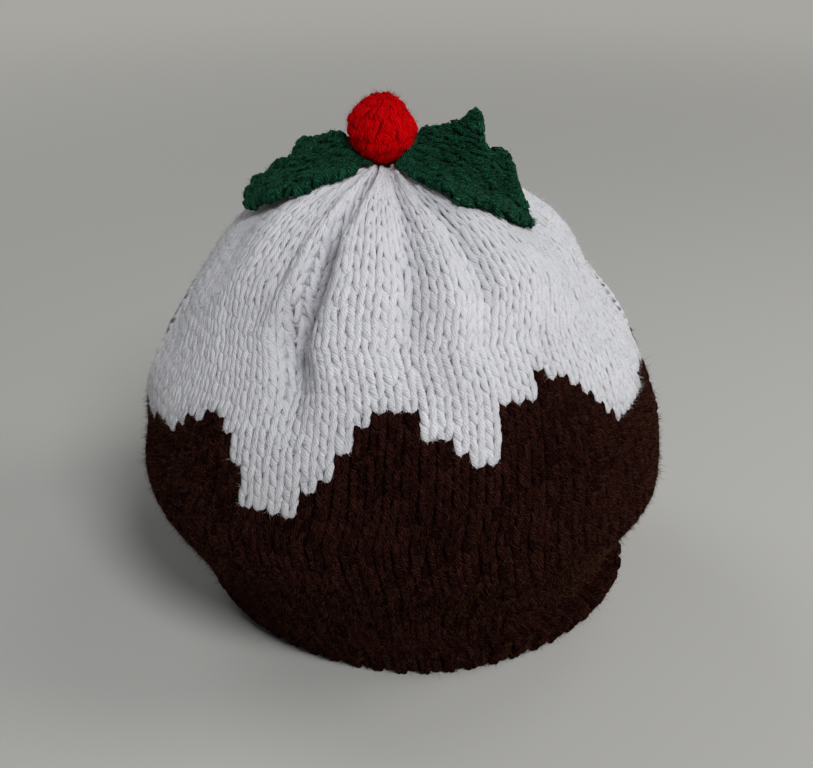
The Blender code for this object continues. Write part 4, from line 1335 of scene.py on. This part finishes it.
fuzz = {
    "pudding": (9000, 1.4, 4.6),  # hairs, least and most length
    "icing": (3000, 1.0, 3.2),
    "berry": (1500, 0.8, 3.0),
    "leaf": (1300, 0.8, 2.8),
    "pudding_down": (52000, 0.6, 2.2),
    "icing_down": (13000, 0.6, 2.1),
    "berry_down": (1500, 0.4, 1.3),
    "leaf_down": (3400, 0.5, 1.7),
    "leafShares": {"leaf_right": 1.0, "leaf_left": 0.6},  # of the leaves' hairs above
    "flatness": {"pudding_down": 0.0, "icing_down": 0.3, "berry_down": 0.3, "leaf_down": 0.6},
    "lifts": {  # least and most height of the roots over the cloth
        "panel": (-0.6, 0.3), "berry": (-0.4, 0.3), "berry_down": (-0.3, 0.3),
        "leaf": (0.4, 1.4), "leaf_down": (0.9, 1.6),
    },
    "panelSpots": 90000,  # places tried on each panel, fewer of them kept where it is narrow
    "fullWidth": 265.0,  # the panel's width at which all of them would be kept
    "rowMargins": (0.05, 0.5),  # rows left bare at the hem and at the top
    "columnShare": 0.78,  # of each wale's width, so that the grooves between wales stay open
    "besideRows": 0.9,  # how near the other colour lies for a hair to count as beside it
    "besideWales": 0.8,
    "besideShare": 1.0,  # of those beside it, how many are grown before the others
    "besideEvery": 4,  # one in so many of these is meant for a long hair, and the others for down
    "lean": (0.35, 1.0),  # how far a hair stands out of the cloth, to its swing and curl
    "swing": 0.85,
    "curl": 0.35,
    "bow": 0.12,
    "shortness": 1.6,  # the more, the fewer long hairs
    "rootDepth": 0.2,
    "halfWidth": 0.050,
    "middleWidth": 0.8,
    "nudge": (0.01, 0.0, 0.0),  # keeps a hair's lean from being parallel to its swing
    "downLean": (0.5, 1.4),
    "downSwing": 0.8,
    "downHalfWidth": 0.070,
    "downNudge": (0.013, 0.007, 0.0),  # keeps it from being parallel to the cloth's normal
    "seed": 77,
}
needleTurns = np.radians([90.0, 210.0, 330.0])  # hairs are three-sided needles


def needleRing(lean, toward):
    # the corners' directions around each needle
    side = unit(np.cross(lean, toward))
    other = np.cross(side, lean)
    cosines, sines = np.cos(needleTurns)[None, :, None], np.sin(needleTurns)[None, :, None]
    return side[:, None] * cosines + other[:, None] * sines


def makeNeedles(name, rows, triangles, quads, finish):
    # one needle for each hair: rows are its points, and the faces' corners count through them
    vertices = np.concatenate(rows, axis=1)
    start = (np.arange(len(vertices)) * vertices.shape[1])[:, None]
    vertices = vertices.reshape(-1, 3)
    vertices[:, 2] = np.maximum(vertices[:, 2], strands["offFloor"])
    faces = []
    for group in (triangles, quads):
        if group:
            faces.append(np.concatenate([start + np.array(corners)[None] for corners in group]))
    return makePiece(name, vertices, faces, [finish])


def makeDown(name, points, normals, least, most, finish, rng, flatness):
    # short straight hairs, which lie the closer to the cloth the nearer flatness is to 1
    count = len(points)
    outward = normals * rng.uniform(*fuzz["downLean"], (count, 1)) * (1.0 - flatness)
    lean = unit(outward + unit(rng.normal(0.0, 1.0, (count, 3))) * fuzz["downSwing"])
    tip = points + lean * rng.uniform(least, most, (count, 1))
    ring = needleRing(lean, normals + fuzz["downNudge"])
    rows = [points[:, None] + ring * fuzz["downHalfWidth"], tip[:, None]]
    return makeNeedles(name, rows, ((0, 1, 3), (1, 2, 3), (2, 0, 3)), (), finish)


def makeFuzz(name, points, normals, least, most, finish, rng):
    # loose hairs, each bent at its middle
    count = len(points)
    swing = unit(rng.normal(0.0, 1.0, (count, 3)))
    lean = unit(normals * rng.uniform(*fuzz["lean"], (count, 1)) + swing * fuzz["swing"])
    length = rng.uniform(0.0, 1.0, (count, 1)) ** fuzz["shortness"] * (most - least) + least
    curl = unit(rng.normal(0.0, 1.0, (count, 3))) * fuzz["curl"]
    middle = points + lean * length * 0.5 + curl * length * fuzz["bow"]
    tip = points + unit(lean + curl) * length
    ring = needleRing(lean, swing + fuzz["nudge"]) * fuzz["halfWidth"]
    low = points[:, None] - lean[:, None] * fuzz["rootDepth"] + ring
    rows = [low, middle[:, None] + ring * fuzz["middleWidth"], tip[:, None]]
    triangles = ((3, 4, 6), (4, 5, 6), (5, 3, 6), (2, 1, 0))
    quads = ((0, 1, 4, 3), (1, 2, 5, 4), (2, 0, 3, 5))
    return makeNeedles(name, rows, triangles, quads, finish)


def spotsOnPanel(panel, rng):
    # places for hairs, those beside the other colour at both ends of the list, so that they are all grown
    count = fuzz["panelSpots"]
    lowMargin, highMargin = fuzz["rowMargins"]
    wale = rng.uniform(0.0, knitting["wales"], count)
    row = rng.uniform(lowMargin, panel["rows"] - highMargin, count)
    width = np.interp(panelPlace(panel, wale, row)[1], panel["alongs"], panel["widths"])
    keep = rng.uniform(0.0, 1.0, count) < width / fuzz["fullWidth"]
    wale, row = wale[keep], row[keep]
    wale = np.floor(wale) + 0.5 + (wale % 1.0 - 0.5) * fuzz["columnShare"]
    white = isIcing(panel, np.floor(wale) + 0.5, np.floor(row) + 0.5)
    rows, wales = fuzz["besideRows"], fuzz["besideWales"]
    beside = np.zeros(len(wale), dtype=bool)
    for waleAt, rowAt in ((wale, row + rows), (wale, row - rows), (wale + wales, row), (wale - wales, row)):
        beside |= isIcing(panel, waleAt, rowAt) != white
    beside &= rng.uniform(0.0, 1.0, len(wale)) < fuzz["besideShare"]
    early = np.arange(len(wale)) % fuzz["besideEvery"] == 0
    order = np.argsort(np.where(beside, np.where(early, 0, 2), 1), kind="stable")
    lift = rng.uniform(*fuzz["lifts"]["panel"], len(wale))
    points, normals = panelSurface(panel)(wale[order], row[order], lift)
    return points, normals, white[order]


def spotsOnBerry(label, rng):
    count = fuzz[label][0]
    height = np.arccos(rng.uniform(-1.0, 1.0, count)) / math.pi
    wale = rng.uniform(0.0, berry["wales"], count)
    return berrySurface(wale, height * berry["rows"], rng.uniform(*fuzz["lifts"][label], count))


def spotsOnLeaf(label, name, surface, leaf, rng):
    count = int(fuzz[label][0] * fuzz["leafShares"][name])
    row = rng.uniform(0.0, leaf["length"] / leafKnit["rowPitch"], count)
    near, far = leafWidths(leaf, row)
    return surface(rng.uniform(-near, far), row, rng.uniform(*fuzz["lifts"][label], count))


def growFuzz():
    rng = np.random.default_rng(fuzz["seed"])
    spots = {label: [] for label in ("pudding", "icing", "pudding_down", "icing_down", "leaf", "leaf_down")}
    for panel in panels.values():
        points, normals, white = spotsOnPanel(panel, rng)
        for yarn, chosen in (("icing", white), ("pudding", ~white)):
            # long hairs are taken from the list's start and down from its end
            for label, step in ((yarn, 1), (yarn + "_down", -1)):
                amount = min(chosen.sum(), fuzz[label][0] // 2)
                spots[label].append([part[chosen][::step][:amount] for part in (points, normals)])

    def grow(label, *flatness):
        places = (np.concatenate(parts) for parts in zip(*spots[label]))
        yarn = label.split("_")[0]
        finish = finishes["leafDown" if label == "leaf_down" else yarn + "Fuzz"]
        make, name = (makeDown, label) if flatness else (makeFuzz, label + "_fuzz")
        make(name, *places, *fuzz[label][1:], finish, rng, *flatness)

    grow("pudding")
    grow("icing")
    spots["berry"] = [spotsOnBerry("berry", rng)]
    grow("berry")
    spots["berry_down"] = [spotsOnBerry("berry_down", rng)]
    for name, (surface, leaf) in zip(leaves, laidLeaves):
        for label in ("leaf", "leaf_down"):
            spots[label].append(spotsOnLeaf(label, name, surface, leaf, rng))
    for label, flatness in fuzz["flatness"].items():
        grow(label, flatness)
    grow("leaf")


growFuzz()
print("fuzz grown")


def makeFloor():
    reach = studio["floorReach"]
    corners = [(-reach, -reach, 0), (reach, -reach, 0), (reach, reach, 0), (-reach, reach, 0)]
    mesh = bpy.data.meshes.new("floor")
    mesh.from_pydata(corners, [], [(0, 1, 2, 3)])
    floor = bpy.data.objects.new("floor", mesh)
    bpy.context.scene.collection.objects.link(floor)
    material, tree, shader = startMaterial("floorFinish", studio["floorRoughness"])
    place = addNode(tree, "ShaderNodeTexCoord").outputs["Object"]
    distance = addNode(tree, "ShaderNodeVectorMath", {0: place}, operation="LENGTH").outputs["Value"]
    fadesFrom, fadesTo = studio["floorFades"]
    fades = {0: distance, 1: fadesFrom, 2: fadesTo}
    far = addNode(tree, "ShaderNodeMapRange", fades, interpolation_type="SMOOTHSTEP").outputs[0]
    black, pale, wall = (0.0, 0.0, 0.0, 1.0), (*studio["floorColour"], 1.0), (*studio["wallColour"], 1.0)
    tree.links.new(blendColours(tree, far, pale, black), shader.inputs["Base Color"])
    tree.links.new(blendColours(tree, far, black, wall), shader.inputs["Emission Color"])
    shader.inputs["Emission Strength"].default_value = 1.0
    shader.inputs["Specular IOR Level"].default_value = 0.0
    mesh.materials.append(material)
    return floor


makeFloor()
for side in panels:
    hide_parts(side + "_panel")
    flatSize = tuple(size * mm for size in cloth["flatSize"])
    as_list(stitches[side])
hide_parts("berry")
print("floor laid, and the cosy's nodes replaced")
